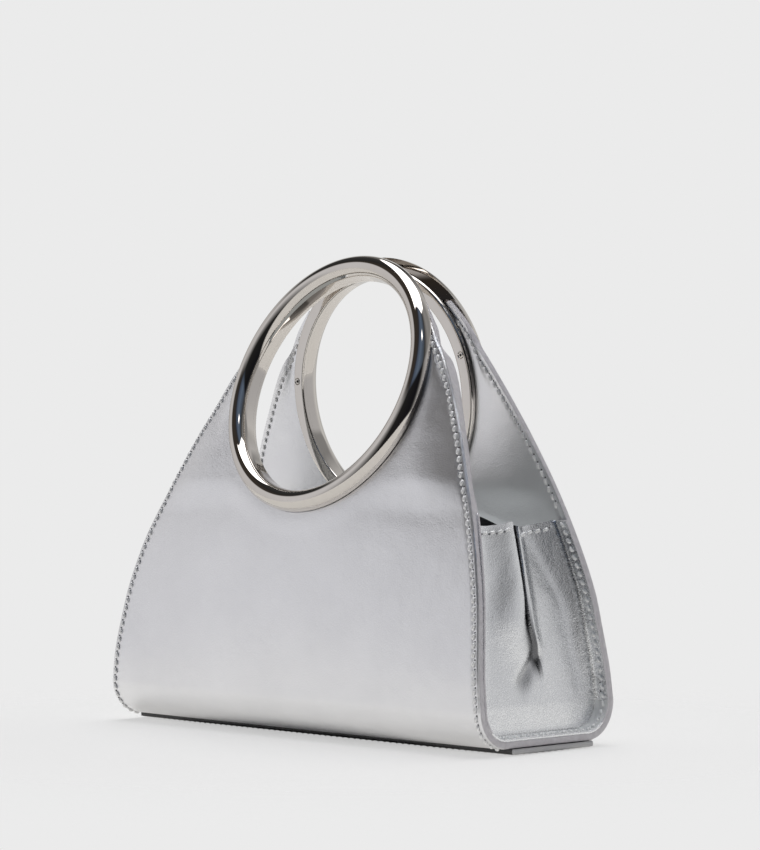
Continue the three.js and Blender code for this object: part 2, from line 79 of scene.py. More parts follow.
# The leather leaves the ring's plane between these distances beyond the bead, sooner high up
BOW_START = 0.5
BOW_END = 11
BOW_END_HIGH = 4.5
BOW_END_FROM = (138, 152)
# Beside the ring the leather falls away only near its side edge
EDGE_FALL = 26
EDGE_FALL_FROM = (90, 104)

# Screws of the plates, and their sunk holes, as (radius, height) pairs along the ring's axis
SCREW_CIRCLE = 50.4
SCREW_RADIUS = 1.2
SCREW_HOLE = 1.27
SCREW_ANGLES = {"left": math.radians(173), "right": math.radians(16)}
SCREW_STEPS = 30
HOLE_STEPS = 32
SCREW_BODY = [
    (0.9, PLATE_NEAR - 0.1),
    (SCREW_RADIUS, PLATE_NEAR - 0.3),
    (SCREW_RADIUS, PLATE_FAR + 0.25),
    (SCREW_RADIUS - 0.15, PLATE_FAR + 0.08),
    (0.62, PLATE_FAR),
    (0.55, PLATE_FAR + 0.05),
    (0.5, PLATE_FAR + 0.75),
]
SCREW_SINK = [
    (SCREW_HOLE, PLATE_NEAR + 1),
    (SCREW_HOLE, PLATE_FAR + 0.35),
    (SCREW_HOLE + 0.9, PLATE_FAR - 0.55),
]

# Where each ring stands: centre of the leather's outer face, and its lean toward the other ring
RINGS = {
    FRONT: {"y": -12.1, "z": 142.9, "lean": math.radians(19.7)},
    BACK: {"y": 21.7, "z": 140.3, "lean": math.radians(6.7)},
}

# Panels by height: half width, and depth of each outer face at the side edge and in the middle
SECTIONS = {
    "z": (17.3, 30, 45, 60, 80, 100, 120, 135, 148, 158, 168, 176),
    "half": (109.4, 108.2, 106.3, 103.7, 97.7, 89.2, 79.8, 71.5, 63.7, 56.4, 48.9, 41.5),
    "front_edge": (38.1, 37.7, 35.6, 33.0, 28.6, 22.8, 16.9, 12.1, 8.7, 5.4, 2.3, 0.2),
    "front_mid": (39.5, 39.3, 38.6, 36.9, 33.4, 27.5, 20.3, 14.9, 10.2, 6.6, 3.1, 0.3),
    "back_edge": (38.0, 37.3, 35.4, 33.8, 30.8, 28.2, 24.4, 21.7, 19.3, 18.4, 18.0, 17.4),
    "back_mid": (39.5, 38.6, 36.8, 34.3, 30.2, 26.4, 24.0, 22.3, 20.7, 19.6, 18.4, 17.5),
}
ARC_CENTRE_Z = SECTIONS["z"][0]
PANEL_TOP_Z = SECTIONS["z"][-1]
PANEL_SPLIT_Z = 74
BEND_RUN = BOTTOM_RADIUS * math.pi / 2
# Rows of a panel's mesh: under-lap, bottom bend, wall, and both side edges above the split
LAP_ROWS = 10
BEND_ROWS = 22
WALL_ROWS = 26
SIDE_ROWS = 60
# Columns close to a side edge by their distance from it, and the share of the half width that they stand for
SIDE_COLUMNS = np.array([0, 0.25, 0.5, 0.8, 1.2, 1.6, 2.0, 2.4, 2.8, 3.2, 3.6, 4.1, 4.8, 5.8, 7.2, 9.2])
COLUMN_HALF = 100
COLUMN_STEP = 2.6
# Rows between a panel's outline and the ring cut-out, close together near the outline
CUT_ROWS = np.concatenate([
    [0, 0.012, 0.025, 0.04, 0.06, 0.08, 0.1, 0.12, 0.14, 0.17, 0.2, 0.24],
    np.linspace(0.29, 1, 18),
])

# Sheets: how the rim of a closed sheet is rounded, and the most that a sharp fold thickens it
RIM_STEPS = 6
RIM_BULGE = 0.15
LEAST_FACING = 0.6
# Edges sharper than this stay sharp, in degrees
LEATHER_SHARP = 50
METAL_SHARP = 35
CUT_SHARP = 40
# Small steps that slopes and directions are measured over
SLOPE_STEP = 0.5
RUN_STEP = 0.3

# Seams: stitch line in from the edge, its groove, and the roll of the edge
SEAM_INSET = 2.3
SEAM_GROOVE = 0.22
SEAM_GROOVE_WIDTH = 0.85
EDGE_ROLL = 0.35
EDGE_ROLL_WIDTH = 1.1
# Ends of the panels' seams, short of the bend's end, the panel's top and the gusset's top
SEAM_LOW_CLEAR = 1.5
SEAM_TOP_CLEAR = 5
INNER_SEAM_TOP_CLEAR = 3
INNER_SEAM_LOW_CLEAR = 4
SEAM_STEPS = 400
INNER_SEAM_STEPS = 200
# How deep the inner rows of stitches sit, by the end of the bag
INNER_SEAM_SINK = {-1: 0.45, 1: 0.1}
# Extra thickness of the front panel's edge above the gusset, and where it runs out from the edge
EDGE_EXTRA = {
    "z": (84, 92, 125, 140, 150, 160, 168),
    "wall": (0.0, 1.8, 2.4, 3.6, 4.0, 2.2, 0.0),
}
EDGE_EXTRA_END = (1.5, 3.5)

# Thread: size of a stitch, and in shares of its radius its taper, lift, dive at the ends and thickness
STITCH_PITCH = 3.4
STITCH_LENGTH = 2.7
STITCH_RADIUS = 0.68
STITCH_SLANT = math.radians(24)
STITCH_TAPER = 0.9
STITCH_LIFT = 0.5
STITCH_DIVE = 1.8
STITCH_THICKNESS = 0.85
STITCH_SINK = 0.1
STITCH_STATIONS = 9
STITCH_SIDES = 10
HOLE_RADIUS = 0.36
HOLE_LIFT = 0.06
HOLE_BEYOND = 0.25

# Gusset: flange turned out along the panel edge, and an inverted pleat down the middle of the web
FLANGE = 6
FLANGE_GAP = 0.03
FOLD_RADIUS = 2
GUSSET_TOP_Z = 88
WEB_INSET = PANEL_WALL + FLANGE_GAP + GUSSET_WALL + FOLD_RADIUS
WEB_CORNER = BOTTOM_RADIUS - WEB_INSET
WEB_CORNER_ROWS = 12
WEB_ROWS = 84
WEB_COLUMNS = 60
FOLD_ROWS = 6
FLANGE_ROWS = 10
FOLD_TURNS = (15, 90)
FLANGE_STITCH_SINK = 0.02
# Width of the painted edge, and how far out of the web the gathered flange starts
PAINTED_EDGE = 1.0
GATHER_FROM = 0.4
# Line of the pleat's crease by height
CREASE = {
    "z": (17.3, 30, 46, 57, 72, 88),
    "y": (4.2, 3.2, -0.8, -1.2, 0.4, 3.2),
}
# Top edge of the gusset across its width, from front flange to back flange, and where its sag starts
TOP_EDGE = {
    "across": (-1.0, -0.85, -0.4, -0.02, 0.16, 0.5, 0.85, 1.0),
    "z": (90.2, 86.0, 85.8, 86.9, 84.6, 85.2, 86.4, 87.2),
}
SAG_FROM = 50
# Hem of the top edge: its extra wall and lift, the step at its end, and its seam
HEM_DROP = 2.8
HEM_WALL = 1.0
HEM_LIFT = 0.25
HEM_ABOVE = 2.5
HEM_STEP = (0.6, 2.2)
HEM_SEAM_SHARES = (0.16, 0.93)
HEM_SEAM_STEPS = 120
HEM_STITCH_LIFT = 0.2

# Pleat: heights where its groove starts and shuts, and its depth and front width when open and when shut
PLEAT_FOOT = (24, 36)
PLEAT_SHUT = (40, 60)
PLEAT_DEPTH = (0.6, 2.6)
PLEAT_FRONT_WIDTH = (3.0, 1.0)
PLEAT_BACK_WIDTH = 0.8
# Valley that runs from the foot of the pleat toward the front, between two places (y, z)
VALLEY = ((1.5, 35.0), (-11.5, 20.5))
VALLEY_DEPTH = 1.5
VALLEY_WIDTH = 3.2
VALLEY_FADE = (0.5, 1)
# Painted shade in the groove by its depth, on the roll at its foot by place and height, and in the valley
GROOVE_SHADE = 0.97
GROOVE_SHADE_DEPTH = (0.2, 1.2)
ROLL_SHADE = 0.85
ROLL_WIDTH = 4.0
ROLL_BACK = (-2.6, -1.8)
ROLL_FOOT = (25, 34)
VALLEY_SHADE = 0.32

# Lips of the pleat: distance from the crease and width, each low and high, then height and growth
LIPS = {
    FRONT: {"at": (7.0, 4.0), "width": (11.0, 8.0), "height": 3.4, "grow": (24, 54), "high_share": 0.55},
    BACK: {"at": (1.8, 1.8), "width": (3.5, 3.5), "height": 1.8, "grow": (26, 46), "high_share": 1.0},
}
LIP_CHANGE = (48, 66)
LIP_EASE = (48, 92)
# Hollows beside the lips: the front one is even, the back one is steep beside its flange
HOLLOW_DEPTH = 1.2
HOLLOW_REACH = 9.0
HOLLOW_FOOT = (0, 45)
BACK_HOLLOW_SLOPE = 0.42
BACK_HOLLOW_FALL = 0.08
BACK_HOLLOW_NEAR = (2.0, 6.0)
BACK_HOLLOW_FAR = (10.0, 16.0)
BACK_HOLLOW_CHANGE = (50, 80)

# Base strip: rows close to its edges, counts between them, and its sunk seam
STRIP_EDGE_ROWS = np.array([0, 0.3, 0.7, 1.2, 1.7, 2.2, 2.8, 3.4, 4.2, 5.4, 8])
STRIP_ROWS_ACROSS = 9
STRIP_ROWS_ALONG = 50
STRIP_RIM_BULGE = 0.25
STRIP_SEAM_GROOVE = 0.55
STRIP_SEAM_WIDTH = 0.9
STRIP_STITCH_Z = 0.62
STRIP_SEAM_SHARES = (0.01, 0.99)
STRIP_SEAM_STEPS = 60

# Lining: how far it stays from the gusset, and where its rim runs
LINING_END_INSET = 19
LINING_RIM_FRONT = 72
LINING_RIM_BACK = 90
LINING_RIM_TURN = 14
LINING_RIM_DIP = 9.4
LINING_RIM_FLAT = 47
LINING_RIM_FALL = 34
LINING_SQUARENESS = 0.15
LINING_FLOOR_Z = 6.2
LINING_STEPS = 144
LINING_BEND_ROWS = 8
LINING_WALL_ROWS = 22


def smooth(value, low, high):
    t = np.clip((value - low) / (high - low), 0, 1)
    return t * t * (3 - 2 * t)


def lerp(a, b, share):
    return a + (b - a) * share


def bell(value, width):
    return np.exp(-(value / width) ** 2)


def table_curve(table, key, column, at):
    """Smooth value of one column of a table whose rows rise along a key."""
    keys = np.asarray(table[key], float)
    values = np.asarray(table[column], float)
    last = len(keys) - 1
    before = np.maximum(np.arange(last + 1) - 1, 0)
    after = np.minimum(np.arange(last + 1) + 1, last)
    slopes = (values[after] - values[before]) / (keys[after] - keys[before])
    at = np.asarray(at, float)
    row = np.clip(np.searchsorted(keys, at, side="left") - 1, 0, last - 1)
    span = keys[row + 1] - keys[row]
    t = np.clip((at - keys[row]) / span, 0, 1)
    ease = t * t * (3 - 2 * t)
    rise = slopes[row] * span * t * (1 - t) ** 2 - slopes[row + 1] * span * t * t * (1 - t)
    return values[row] * (1 - ease) + values[row + 1] * ease + rise


def half_width(z):
    return table_curve(SECTIONS, "z", "half", z)


def half_width_slope(z):
    z = np.asarray(z)
    return (half_width(z + SLOPE_STEP) - half_width(z - SLOPE_STEP)) / (2 * SLOPE_STEP)


def edge_depth(side, z):
    return table_curve(SECTIONS, "z", "front_edge" if side == FRONT else "back_edge", z)


def mid_depth(side, z):
    return table_curve(SECTIONS, "z", "front_mid" if side == FRONT else "back_mid", z)


def ring_point(side, radius, angle, height):
    """Point of a ring's own frame: distance from its axis, angle in its plane, height above the leather."""
    ring = RINGS[side]
    along = radius * np.sin(angle)
    x = radius * np.cos(angle)
    y = ring["y"] - side * math.sin(ring["lean"]) * along + side * math.cos(ring["lean"]) * height
    z = ring["z"] + math.cos(ring["lean"]) * along + math.sin(ring["lean"]) * height
    return np.stack(np.broadcast_arrays(x, y, z), axis=-1)


def panel_depth(side, x, z):
    """Outward depth of a panel's outer face: flat under the ring, bowed between the side edges elsewhere."""
    ring = RINGS[side]
    half = half_width(z)
    even = np.minimum(np.abs(x) / half, 1) ** 2
    at_edge = np.clip(1 - (half - np.abs(x)) / EDGE_FALL, 0, 1) ** 2
    bow = lerp(even, at_edge, smooth(z, *EDGE_FALL_FROM))
    bowed = lerp(mid_depth(side, z), edge_depth(side, z), bow)
    flat = side * ring["y"] + (ring["z"] - z) * math.tan(ring["lean"])
    reach = np.hypot(x, (z - ring["z"]) / math.cos(ring["lean"]))
    bow_end = lerp(BOW_END, BOW_END_HIGH, smooth(z, *BOW_END_FROM))
    return lerp(flat, bowed, smooth(reach, RING_OUTER + BOW_START, RING_OUTER + bow_end))


def panel_point(side, x, run):
    """Outer face of a panel by its run: wall above the bottom bend for run >= 0, bend and lap below 0."""
    z_wall = ARC_CENTRE_Z + np.maximum(run, 0)
    angle = np.clip(-run / BOTTOM_RADIUS, 0, math.pi / 2)
    lap = np.maximum(-run - BEND_RUN, 0)
    y = panel_depth(side, x, z_wall) - BOTTOM_RADIUS * (1 - np.cos(angle)) - lap
    z = z_wall - BOTTOM_RADIUS * np.sin(angle)
    return np.stack(np.broadcast_arrays(x, side * y, z), axis=-1)


def unit(vectors):
    return vectors / np.maximum(np.linalg.norm(vectors, axis=-1, keepdims=True), 1e-12)


def full_turn(steps):
    return np.linspace(0, 2 * math.pi, steps, endpoint=False)


# Meshes


def grid_faces(rows, columns, start=0, closed=False):
    """Quads between the rows of a point grid; closed joins the last column to the first."""
    count = columns if closed else columns - 1
    i, j = np.meshgrid(np.arange(rows - 1), np.arange(count), indexing="ij")
    right = (j + 1) % columns
    here = i * columns
    above = here + columns
    quads = np.stack([here + j, here + right, above + right, above + j], -1)
    return start + quads.reshape(-1, 4)


def capped_tube(loops, flipped=False):
    """Points and faces of a tube through closed loops of points, with a face at each end."""
    columns = len(loops[0])
    quads = grid_faces(len(loops), columns, closed=True)
    first = np.arange(columns)
    last = first + columns * (len(loops) - 1)
    faces = [*quads, first[::-1], last]
    if flipped:
        faces = [face[::-1] for face in faces]
    return np.concatenate(loops), [face.tolist() for face in faces]


def vertex_normals(points, faces):
    """Unit normals, and how squarely each vertex's faces look along them."""
    corners = points[faces]
    normals = unit(np.cross(corners[:, 2] - corners[:, 0], corners[:, 3] - corners[:, 1]))
    total = np.zeros_like(points)
    count = np.zeros(len(points))
    for k in range(4):
        np.add.at(total, faces[:, k], normals)
        np.add.at(count, faces[:, k], 1)
    facing = np.linalg.norm(total, axis=1) / np.maximum(count, 1)
    return unit(total), facing


def close_sheet(points, faces, wall, relief=0.0, back_relief=0.0, bulge=RIM_BULGE):
    """Closed sheet from an open surface, with a rounded rim. Gives points, faces and which faces are rim."""
    normals, facing = vertex_normals(points, faces)
    front = points + normals * np.reshape(relief, (-1, 1))
    depth = np.reshape(wall, (-1, 1)) / np.maximum(facing, LEAST_FACING)[:, None]
    back = points - normals * (depth - np.reshape(back_relief, (-1, 1)))
    count = len(points)
    starts = faces.reshape(-1)
    ends = np.roll(faces, -1, axis=1).reshape(-1)
    lone = ~np.isin(starts * count + ends, ends * count + starts)
    a, b = starts[lone], ends[lone]
    out = np.zeros_like(points)
    push = unit(np.cross(points[b] - points[a], normals[a] + normals[b]))
    np.add.at(out, a, push)
    np.add.at(out, b, push)
    rim = np.unique(a)
    out = unit(out[rim])
    row_of = np.zeros(count, int)
    row_of[rim] = np.arange(len(rim))
    all_points = [front, back]
    for k in range(1, RIM_STEPS):
        turn = math.pi * k / RIM_STEPS
        sink = (1 - math.cos(turn)) / 2
        all_points.append(lerp(front[rim], back[rim], sink) + out * bulge * math.sin(turn))

    def level(vertices, k):
        if k == 0:
            return vertices
        if k == RIM_STEPS:
            return vertices + count
        return 2 * count + (k - 1) * len(rim) + row_of[vertices]

    rims = []
    for k in range(RIM_STEPS):
        rims.append(np.stack([level(b, k), level(a, k), level(a, k + 1), level(b, k + 1)], -1))
    skins = [faces, faces[:, ::-1] + count]
    all_faces = np.concatenate(skins + rims)
    is_rim = np.arange(len(all_faces)) >= 2 * len(faces)
    return np.concatenate(all_points), all_faces, is_rim


def add_mesh(name, points, faces, materials, replaces=None, slots=None, sharp=LEATHER_SHARP):
    """Mesh object in metres that rides with the bag, shaded smooth up to an edge angle in degrees."""
    mesh = bpy.data.meshes.new(name)
    mesh.from_pydata((np.asarray(points) * MM).tolist(), [], [list(map(int, face)) for face in faces])
    for material in materials:
        mesh.materials.append(material)
    if slots is not None:
        mesh.polygons.foreach_set("material_index", np.asarray(slots, np.int32))
    shade_smooth(mesh, sharp)
    mesh.update()
    piece = bpy.data.objects.new(name, mesh)
    bpy.context.scene.collection.objects.link(piece)
    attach(piece, "root")
    if replaces:
        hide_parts(replaces)
    return piece


def shade_smooth(mesh, sharp):
    mesh.polygons.foreach_set("use_smooth", np.ones(len(mesh.polygons), bool))
    mesh.set_sharp_from_angle(angle=math.radians(sharp))


# Materials

# Painted shade in the gusset's folds: the attribute that holds it, and the dark colour it mixes the leather
# toward
FOLD_SHADE = "fold_shade"
PAINTED_FOLD_SHADE_COLOUR = (0.03, 0.03, 0.035, 1)
# Part of a noise's range that is spread over a colour or a roughness
NOISE_RANGE = (0.3, 0.7)
# Leather: (cycles per metre, detail) of its tone, waves and grain, and depths of the bumps in metres
LEATHER_TONE = (38, 3)
LEATHER_WAVES = (120, 2)
LEATHER_GRAIN = (1500, 3, 0.6)
WAVE_DEPTH = 0.00014
GRAIN_DEPTH = 0.00007
LEATHER_GLOSS = (-0.03, 0.05)
SPECK_DEPTH = 0.00012
# Lining: threads of its weave in cycles per metre, and a painted glow on it that only reflections in the
# leather see
WEAVE = 620
WEAVE_WANDER = 0.6
WEAVE_DEPTH = 0.00012
LINING_FADE = (60, 2)
LINING_PAINTED_GLOW = (0.42, 0.44, 0.44, 1)


def add_node(tree, kind, inputs=None, **settings):
    """New shader node. Each input is given as a constant, or as the output that feeds it."""
    node = tree.nodes.new(f"ShaderNode{kind}")
    for key, value in settings.items():
        setattr(node, key, value)
    for key, value in (inputs or {}).items():
        if isinstance(value, bpy.types.NodeSocket):
            tree.links.new(value, node.inputs[key])
        else:
            node.inputs[key].default_value = value
    return node


def mix_colours(tree, share, first, second):
    return add_node(tree, "Mix", {"Factor": share, 6: first, 7: second}, data_type="RGBA").outputs[2]


def mix_shaders(tree, share, first, second):
    return add_node(tree, "MixShader", {"Fac": share, 1: first, 2: second}).outputs[0]


def new_material(name, **inputs):
    """Principled material with constant inputs, its node tree and its shader."""
    material = bpy.data.materials.new(name)
    material.use_nodes = True
    tree = material.node_tree
    shader = tree.nodes["Principled BSDF"]
    for key, value in inputs.items():
        shader.inputs[key].default_value = value
    return material, tree, shader


def object_noise(tree, scale, detail, roughness=0.5):
    """Noise in the object's own place, in cycles per metre."""
    inputs = {"Scale": scale, "Detail": detail, "Roughness": roughness}
    inputs["Vector"] = add_node(tree, "TexCoord").outputs["Object"]
    return add_node(tree, "TexNoise", inputs).outputs["Fac"]


def spread(tree, noise, low, high):
    """Maps a noise onto the range from low to high."""
    inputs = {"Value": noise, "To Min": low, "To Max": high}
    inputs["From Min"], inputs["From Max"] = NOISE_RANGE
    return add_node(tree, "MapRange", inputs).outputs["Result"]


def colour_ramp(tree, value, stops):
    """Colour by a value, from (position, colour) stops."""
    ramp = add_node(tree, "ValToRGB", {"Fac": value})
    elements = ramp.color_ramp.elements
    while len(elements) < len(stops):
        elements.new(0.5)
    for element, (position, colour) in zip(elements, stops):
        element.position = position
        element.color = (*colour, 1)
    return ramp.outputs["Color"]


def tint(tree, noise, dark, light):
    return colour_ramp(tree, noise, list(zip(NOISE_RANGE, (dark, light))))


def bump(tree, shader, layers):
    """Chain of bumps from (height, depth in metres) pairs."""
    before = {}
    for height, depth in layers:
        node = add_node(tree, "Bump", {"Height": height, "Distance": depth, "Strength": 1.0, **before})
        before = {"Normal": node.outputs["Normal"]}
    tree.links.new(before["Normal"], shader.inputs["Normal"])


def metallic_leather(name, dark, light, rough, grain, metal=1.0):
    """Foiled leather: satin metal with fine grain and slow waves, with painted shade where the mesh marks a
    fold.
    """
    material, tree, shader = new_material(name, Metallic=metal)
    tone = tint(tree, object_noise(tree, *LEATHER_TONE), dark, light)
    fine = object_noise(tree, *LEATHER_GRAIN)
    wave = object_noise(tree, *LEATHER_WAVES)
    # Painted shade: the fold attribute mixes the leather's tone toward the dark fold colour
    fold = add_node(tree, "Attribute", attribute_name=FOLD_SHADE).outputs["Fac"]
    tree.links.new(mix_colours(tree, fold, tone, PAINTED_FOLD_SHADE_COLOUR), shader.inputs["Base Color"])
    gloss = spread(tree, fine, rough + LEATHER_GLOSS[0], rough + LEATHER_GLOSS[1])
    tree.links.new(gloss, shader.inputs["Roughness"])
    bump(tree, shader, [(wave, WAVE_DEPTH * grain), (fine, GRAIN_DEPTH * grain)])
    return material


def speckled(name, noise, dark, light, depth=0.0, gloss=None, **inputs):
    """Material whose colour varies by noise, with a bump or a spread of roughness from the same noise."""
    material, tree, shader = new_material(name, **inputs)
    speck = object_noise(tree, *noise)
    tree.links.new(tint(tree, speck, dark, light), shader.inputs["Base Color"])
    if gloss:
        tree.links.new(spread(tree, speck, *gloss), shader.inputs["Roughness"])
    if depth:
        bump(tree, shader, [(speck, depth)])
    return material


def lining_material():
    """Matt black cloth with a plain weave; it has a painted glow that only glossy rays see, so the leather
    above it mirrors a lit lining.
    """
    material, tree, shader = new_material("black_lining", Roughness=0.92)
    place = add_node(tree, "TexCoord").outputs["Object"]
    threads = []
    for direction in ("X", "Z"):
        weave = {"Vector": place, "Scale": WEAVE, "Distortion": WEAVE_WANDER}
        wave = add_node(tree, "TexWave", weave, bands_direction=direction)
        threads.append((wave.outputs["Fac"], WEAVE_DEPTH))
    fade = object_noise(tree, *LINING_FADE)
    black = tint(tree, fade, (0.008, 0.008, 0.009), (0.02, 0.02, 0.022))
    tree.links.new(black, shader.inputs["Base Color"])
    bump(tree, shader, threads)
    # Painted light: glossy rays see the cloth glow grey instead of black
    mirrored = add_node(tree, "LightPath").outputs["Is Glossy Ray"]
    glow = add_node(tree, "Emission", {"Color": LINING_PAINTED_GLOW}).outputs["Emission"]
    surface = mix_shaders(tree, mirrored, shader.outputs["BSDF"], glow)
    tree.links.new(surface, tree.nodes["Material Output"].inputs["Surface"])
    return material


PANEL_LEATHER = metallic_leather("silver_leather", (0.79, 0.79, 0.81), (0.83, 0.83, 0.85), 0.32, 1.2)
INNER_LEATHER = metallic_leather("inner_leather", (0.80, 0.81, 0.81), (0.86, 0.87, 0.87), 0.5, 1.0, 0.15)
GUSSET_LEATHER = metallic_leather("gusset_leather", (0.77, 0.78, 0.80), (0.82, 0.83, 0.85), 0.25, 2.0)
# Painted shade: the strip's leather is darkened for the shade under the bag, and its long rims darker still
STRIP_LEATHER = metallic_leather("strip_leather", (0.36, 0.36, 0.37), (0.42, 0.42, 0.43), 0.42, 1.0)
STRIP_EDGE = metallic_leather("strip_edge_painted_shade", (0.06, 0.06, 0.062), (0.09, 0.09, 0.092), 0.42, 1.0)
EDGE_PAINT = speckled("edge_paint", (420, 3), (0.52, 0.50, 0.53), (0.63, 0.61, 0.64), SPECK_DEPTH,
                      Roughness=0.42)
THREAD = speckled("thread", (2600, 2), (0.84, 0.84, 0.85), (0.96, 0.96, 0.96), SPECK_DEPTH,
                  Roughness=0.45, Metallic=0.2)
# Painted shade of the needle holes and of the screws' sockets
NEEDLE_HOLE_SHADE = speckled("needle_hole_shade", (900, 2), (0.07, 0.07, 0.075), (0.14, 0.14, 0.15), Roughness=0.9)
NICKEL = speckled("polished_nickel", (260, 3), (0.625, 0.59, 0.555), (0.645, 0.61, 0.575),
                  gloss=(0.015, 0.035), Metallic=1.0)
LINING = lining_material()


# Stitches


def stitch_template():
    """One thread lump along +X, lying on z = 0 with its ends drawn into the leather."""
    angles = full_turn(STITCH_SIDES)
    loops = []
    for station in np.linspace(-1, 1, STITCH_STATIONS):
        radius = STITCH_RADIUS * math.sqrt(1 - STITCH_TAPER * station ** 4)
        lift = STITCH_LIFT * STITCH_RADIUS * (1 - STITCH_DIVE * station ** 4)
        x = np.full(STITCH_SIDES, station * STITCH_LENGTH / 2)
        y = radius * np.cos(angles)
        z = radius * np.sin(angles) * STITCH_THICKNESS + lift
        loops.append(np.stack([x, y, z], -1))
    return capped_tube(loops)


def hole_template():
    """Flat dark mark a hair above the leather, painted shade of a needle hole."""
    angles = full_turn(STITCH_SIDES)
    x = np.cos(angles) * HOLE_RADIUS
    y = np.sin(angles) * HOLE_RADIUS
    return np.stack([x, y, np.full_like(x, HOLE_LIFT)], -1), [list(range(STITCH_SIDES))]


def resample(path, pitch):
    """Places along a path at an even pitch, as fractional indices."""
    steps = np.linalg.norm(np.diff(path, axis=0), axis=1)
    length = np.concatenate([[0], np.cumsum(steps)])
    count = max(int(length[-1] / pitch), 1)
    wanted = (np.arange(count) + 0.5) * length[-1] / count
    return np.interp(wanted, length, np.arange(len(path)))


def pick(values, places):
    index = np.arange(len(values))
    return np.stack([np.interp(places, index, values[:, k]) for k in range(3)], -1)


def stitch_row(path, normals, slant=STITCH_SLANT):
    """Frames (origin, along, across, up) of the stitches along a path on a surface."""
    places = resample(path, STITCH_PITCH)
    tangent = np.gradient(path, axis=0)
    origin = pick(path, places)
    up = unit(pick(normals, places))
    along = unit(pick(tangent, places))
    along = unit(along - up * np.sum(along * up, -1, keepdims=True))
    across = np.cross(up, along)
    turned_along = along * math.cos(slant) + across * math.sin(slant)
    return origin, turned_along, np.cross(up, turned_along), up


def stamp(template, frames):
    """Copies of a template's points and faces at each frame."""
    base, faces = template
    origin, along, across, up = frames
    copies = origin[:, None] + base[None, :, :1] * along[:, None] + base[None, :, 1:2] * across[:, None]
    copies = copies + base[None, :, 2:3] * up[:, None]
    shifted = [[v + k * len(base) for v in face] for k in range(len(origin)) for face in faces]
    return copies.reshape(-1, 3), shifted


def add_stitches(name, rows, unmarked=()):
    """All the stitches of one piece as one mesh, with the painted shade of their needle holes but for the
    unmarked rows.
    """
    points, faces, slots = [], [], []
    start = 0
    for number, frames in enumerate(rows):
        origin, along, across, up = frames
        ends = origin + along * (STITCH_LENGTH / 2 + HOLE_BEYOND)
        parts = [(stitch_template(), frames, 0)]
        if number not in unmarked:
            parts.append((hole_template(), (ends, along, across, up), 1))
        for template, places, index in parts:
            p, f = stamp(template, places)
            points.append(p)
            faces += [[v + start for v in face] for face in f]
            slots += [index] * len(f)
            start += len(p)
    return add_mesh(name, np.concatenate(points), faces, [THREAD, NEEDLE_HOLE_SHADE], slots=slots)


# Panels


def seam_distance(x, z):
    """Distance in the panel from its nearer side edge."""
    level = np.maximum(z, ARC_CENTRE_Z)
    return (half_width(level) - np.abs(x)) / np.hypot(1, half_width_slope(level))


def seam_groove(distance):
    return SEAM_GROOVE * bell(distance - SEAM_INSET, SEAM_GROOVE_WIDTH)


def edge_roll(distance):
    return EDGE_ROLL * (1 - smooth(distance, 0, EDGE_ROLL_WIDTH))


def column_shares():
    """Shares of a half width from one side edge to the other, close together near both."""
    inner = COLUMN_HALF - SIDE_COLUMNS[-1]
    far = np.linspace(0, inner, int(inner / COLUMN_STEP), endpoint=False)
    right = np.concatenate([far, COLUMN_HALF - SIDE_COLUMNS[::-1]]) / COLUMN_HALF
    return np.concatenate([-right[:0:-1], right])


def panel_rows(side, shares):
    """Lower part of a panel in rows across, from the seam under the bag up to the split."""
    seam = side * STRIP_SHIFT + PANEL_SEAM_GAP / 2
    lap_end = -BEND_RUN - (float(panel_depth(side, 0.0, ARC_CENTRE_Z)) - BOTTOM_RADIUS - seam)
    runs = np.concatenate([
        np.linspace(lap_end, -BEND_RUN, LAP_ROWS, endpoint=False),
        np.linspace(-BEND_RUN, 0, BEND_ROWS, endpoint=False),
        np.linspace(0, PANEL_SPLIT_Z - ARC_CENTRE_Z, WALL_ROWS),
    ])
    half = half_width(ARC_CENTRE_Z + np.maximum(runs, 0))
    rows = panel_point(side, half[:, None] * shares[None, :], runs[:, None])
    rows[0, :, 1] = side * seam
    return rows


def panel_loops(side, shares):
    """Upper part of a panel: from its left edge, the split row and its right edge in to the ring cut-out."""
    edge_z = np.linspace(PANEL_TOP_Z, PANEL_SPLIT_Z, SIDE_ROWS, endpoint=False)
    split_x = half_width(PANEL_SPLIT_Z) * shares
    outline_x = np.concatenate([-half_width(edge_z), split_x, half_width(edge_z[::-1])])
    outline_z = np.concatenate([edge_z, np.full(len(shares), float(PANEL_SPLIT_Z)), edge_z[::-1]])
    ring = RINGS[side]
    angle = np.arctan2((outline_z - ring["z"]) / math.cos(ring["lean"]), outline_x)
    cut = ring_point(side, LEATHER_CUT, angle, 0)
    loops = []
    for share in 1 - CUT_ROWS:
        x = lerp(cut[:, 0], outline_x, share)
        z = lerp(cut[:, 2], outline_z, share)
        loops.append(np.stack([x, side * panel_depth(side, x, z), z], -1))
    return np.array(loops)


def panel_surface(side):
    """Outer face of a panel, its upper part joined to the last row of its lower part."""
    shares = column_shares()
    columns = len(shares)
    lower = panel_rows(side, shares)
    upper = panel_loops(side, shares)
    start = lower[:, :, 0].size
    count = start + upper[:, :, 0].size
    points = np.concatenate([lower.reshape(-1, 3), upper.reshape(-1, 3)])
    joined = np.arange(count)
    joined[start + SIDE_ROWS:start + SIDE_ROWS + columns] = start - columns + np.arange(columns)
    upper_faces = joined[grid_faces(*upper.shape[:2], start)]
    faces = np.concatenate([grid_faces(len(lower), columns), upper_faces])
    used = np.unique(faces)
    renumber = np.zeros(count, int)
    renumber[used] = np.arange(len(used))
    faces = renumber[faces]
    return points[used], faces if side == FRONT else faces[:, ::-1]


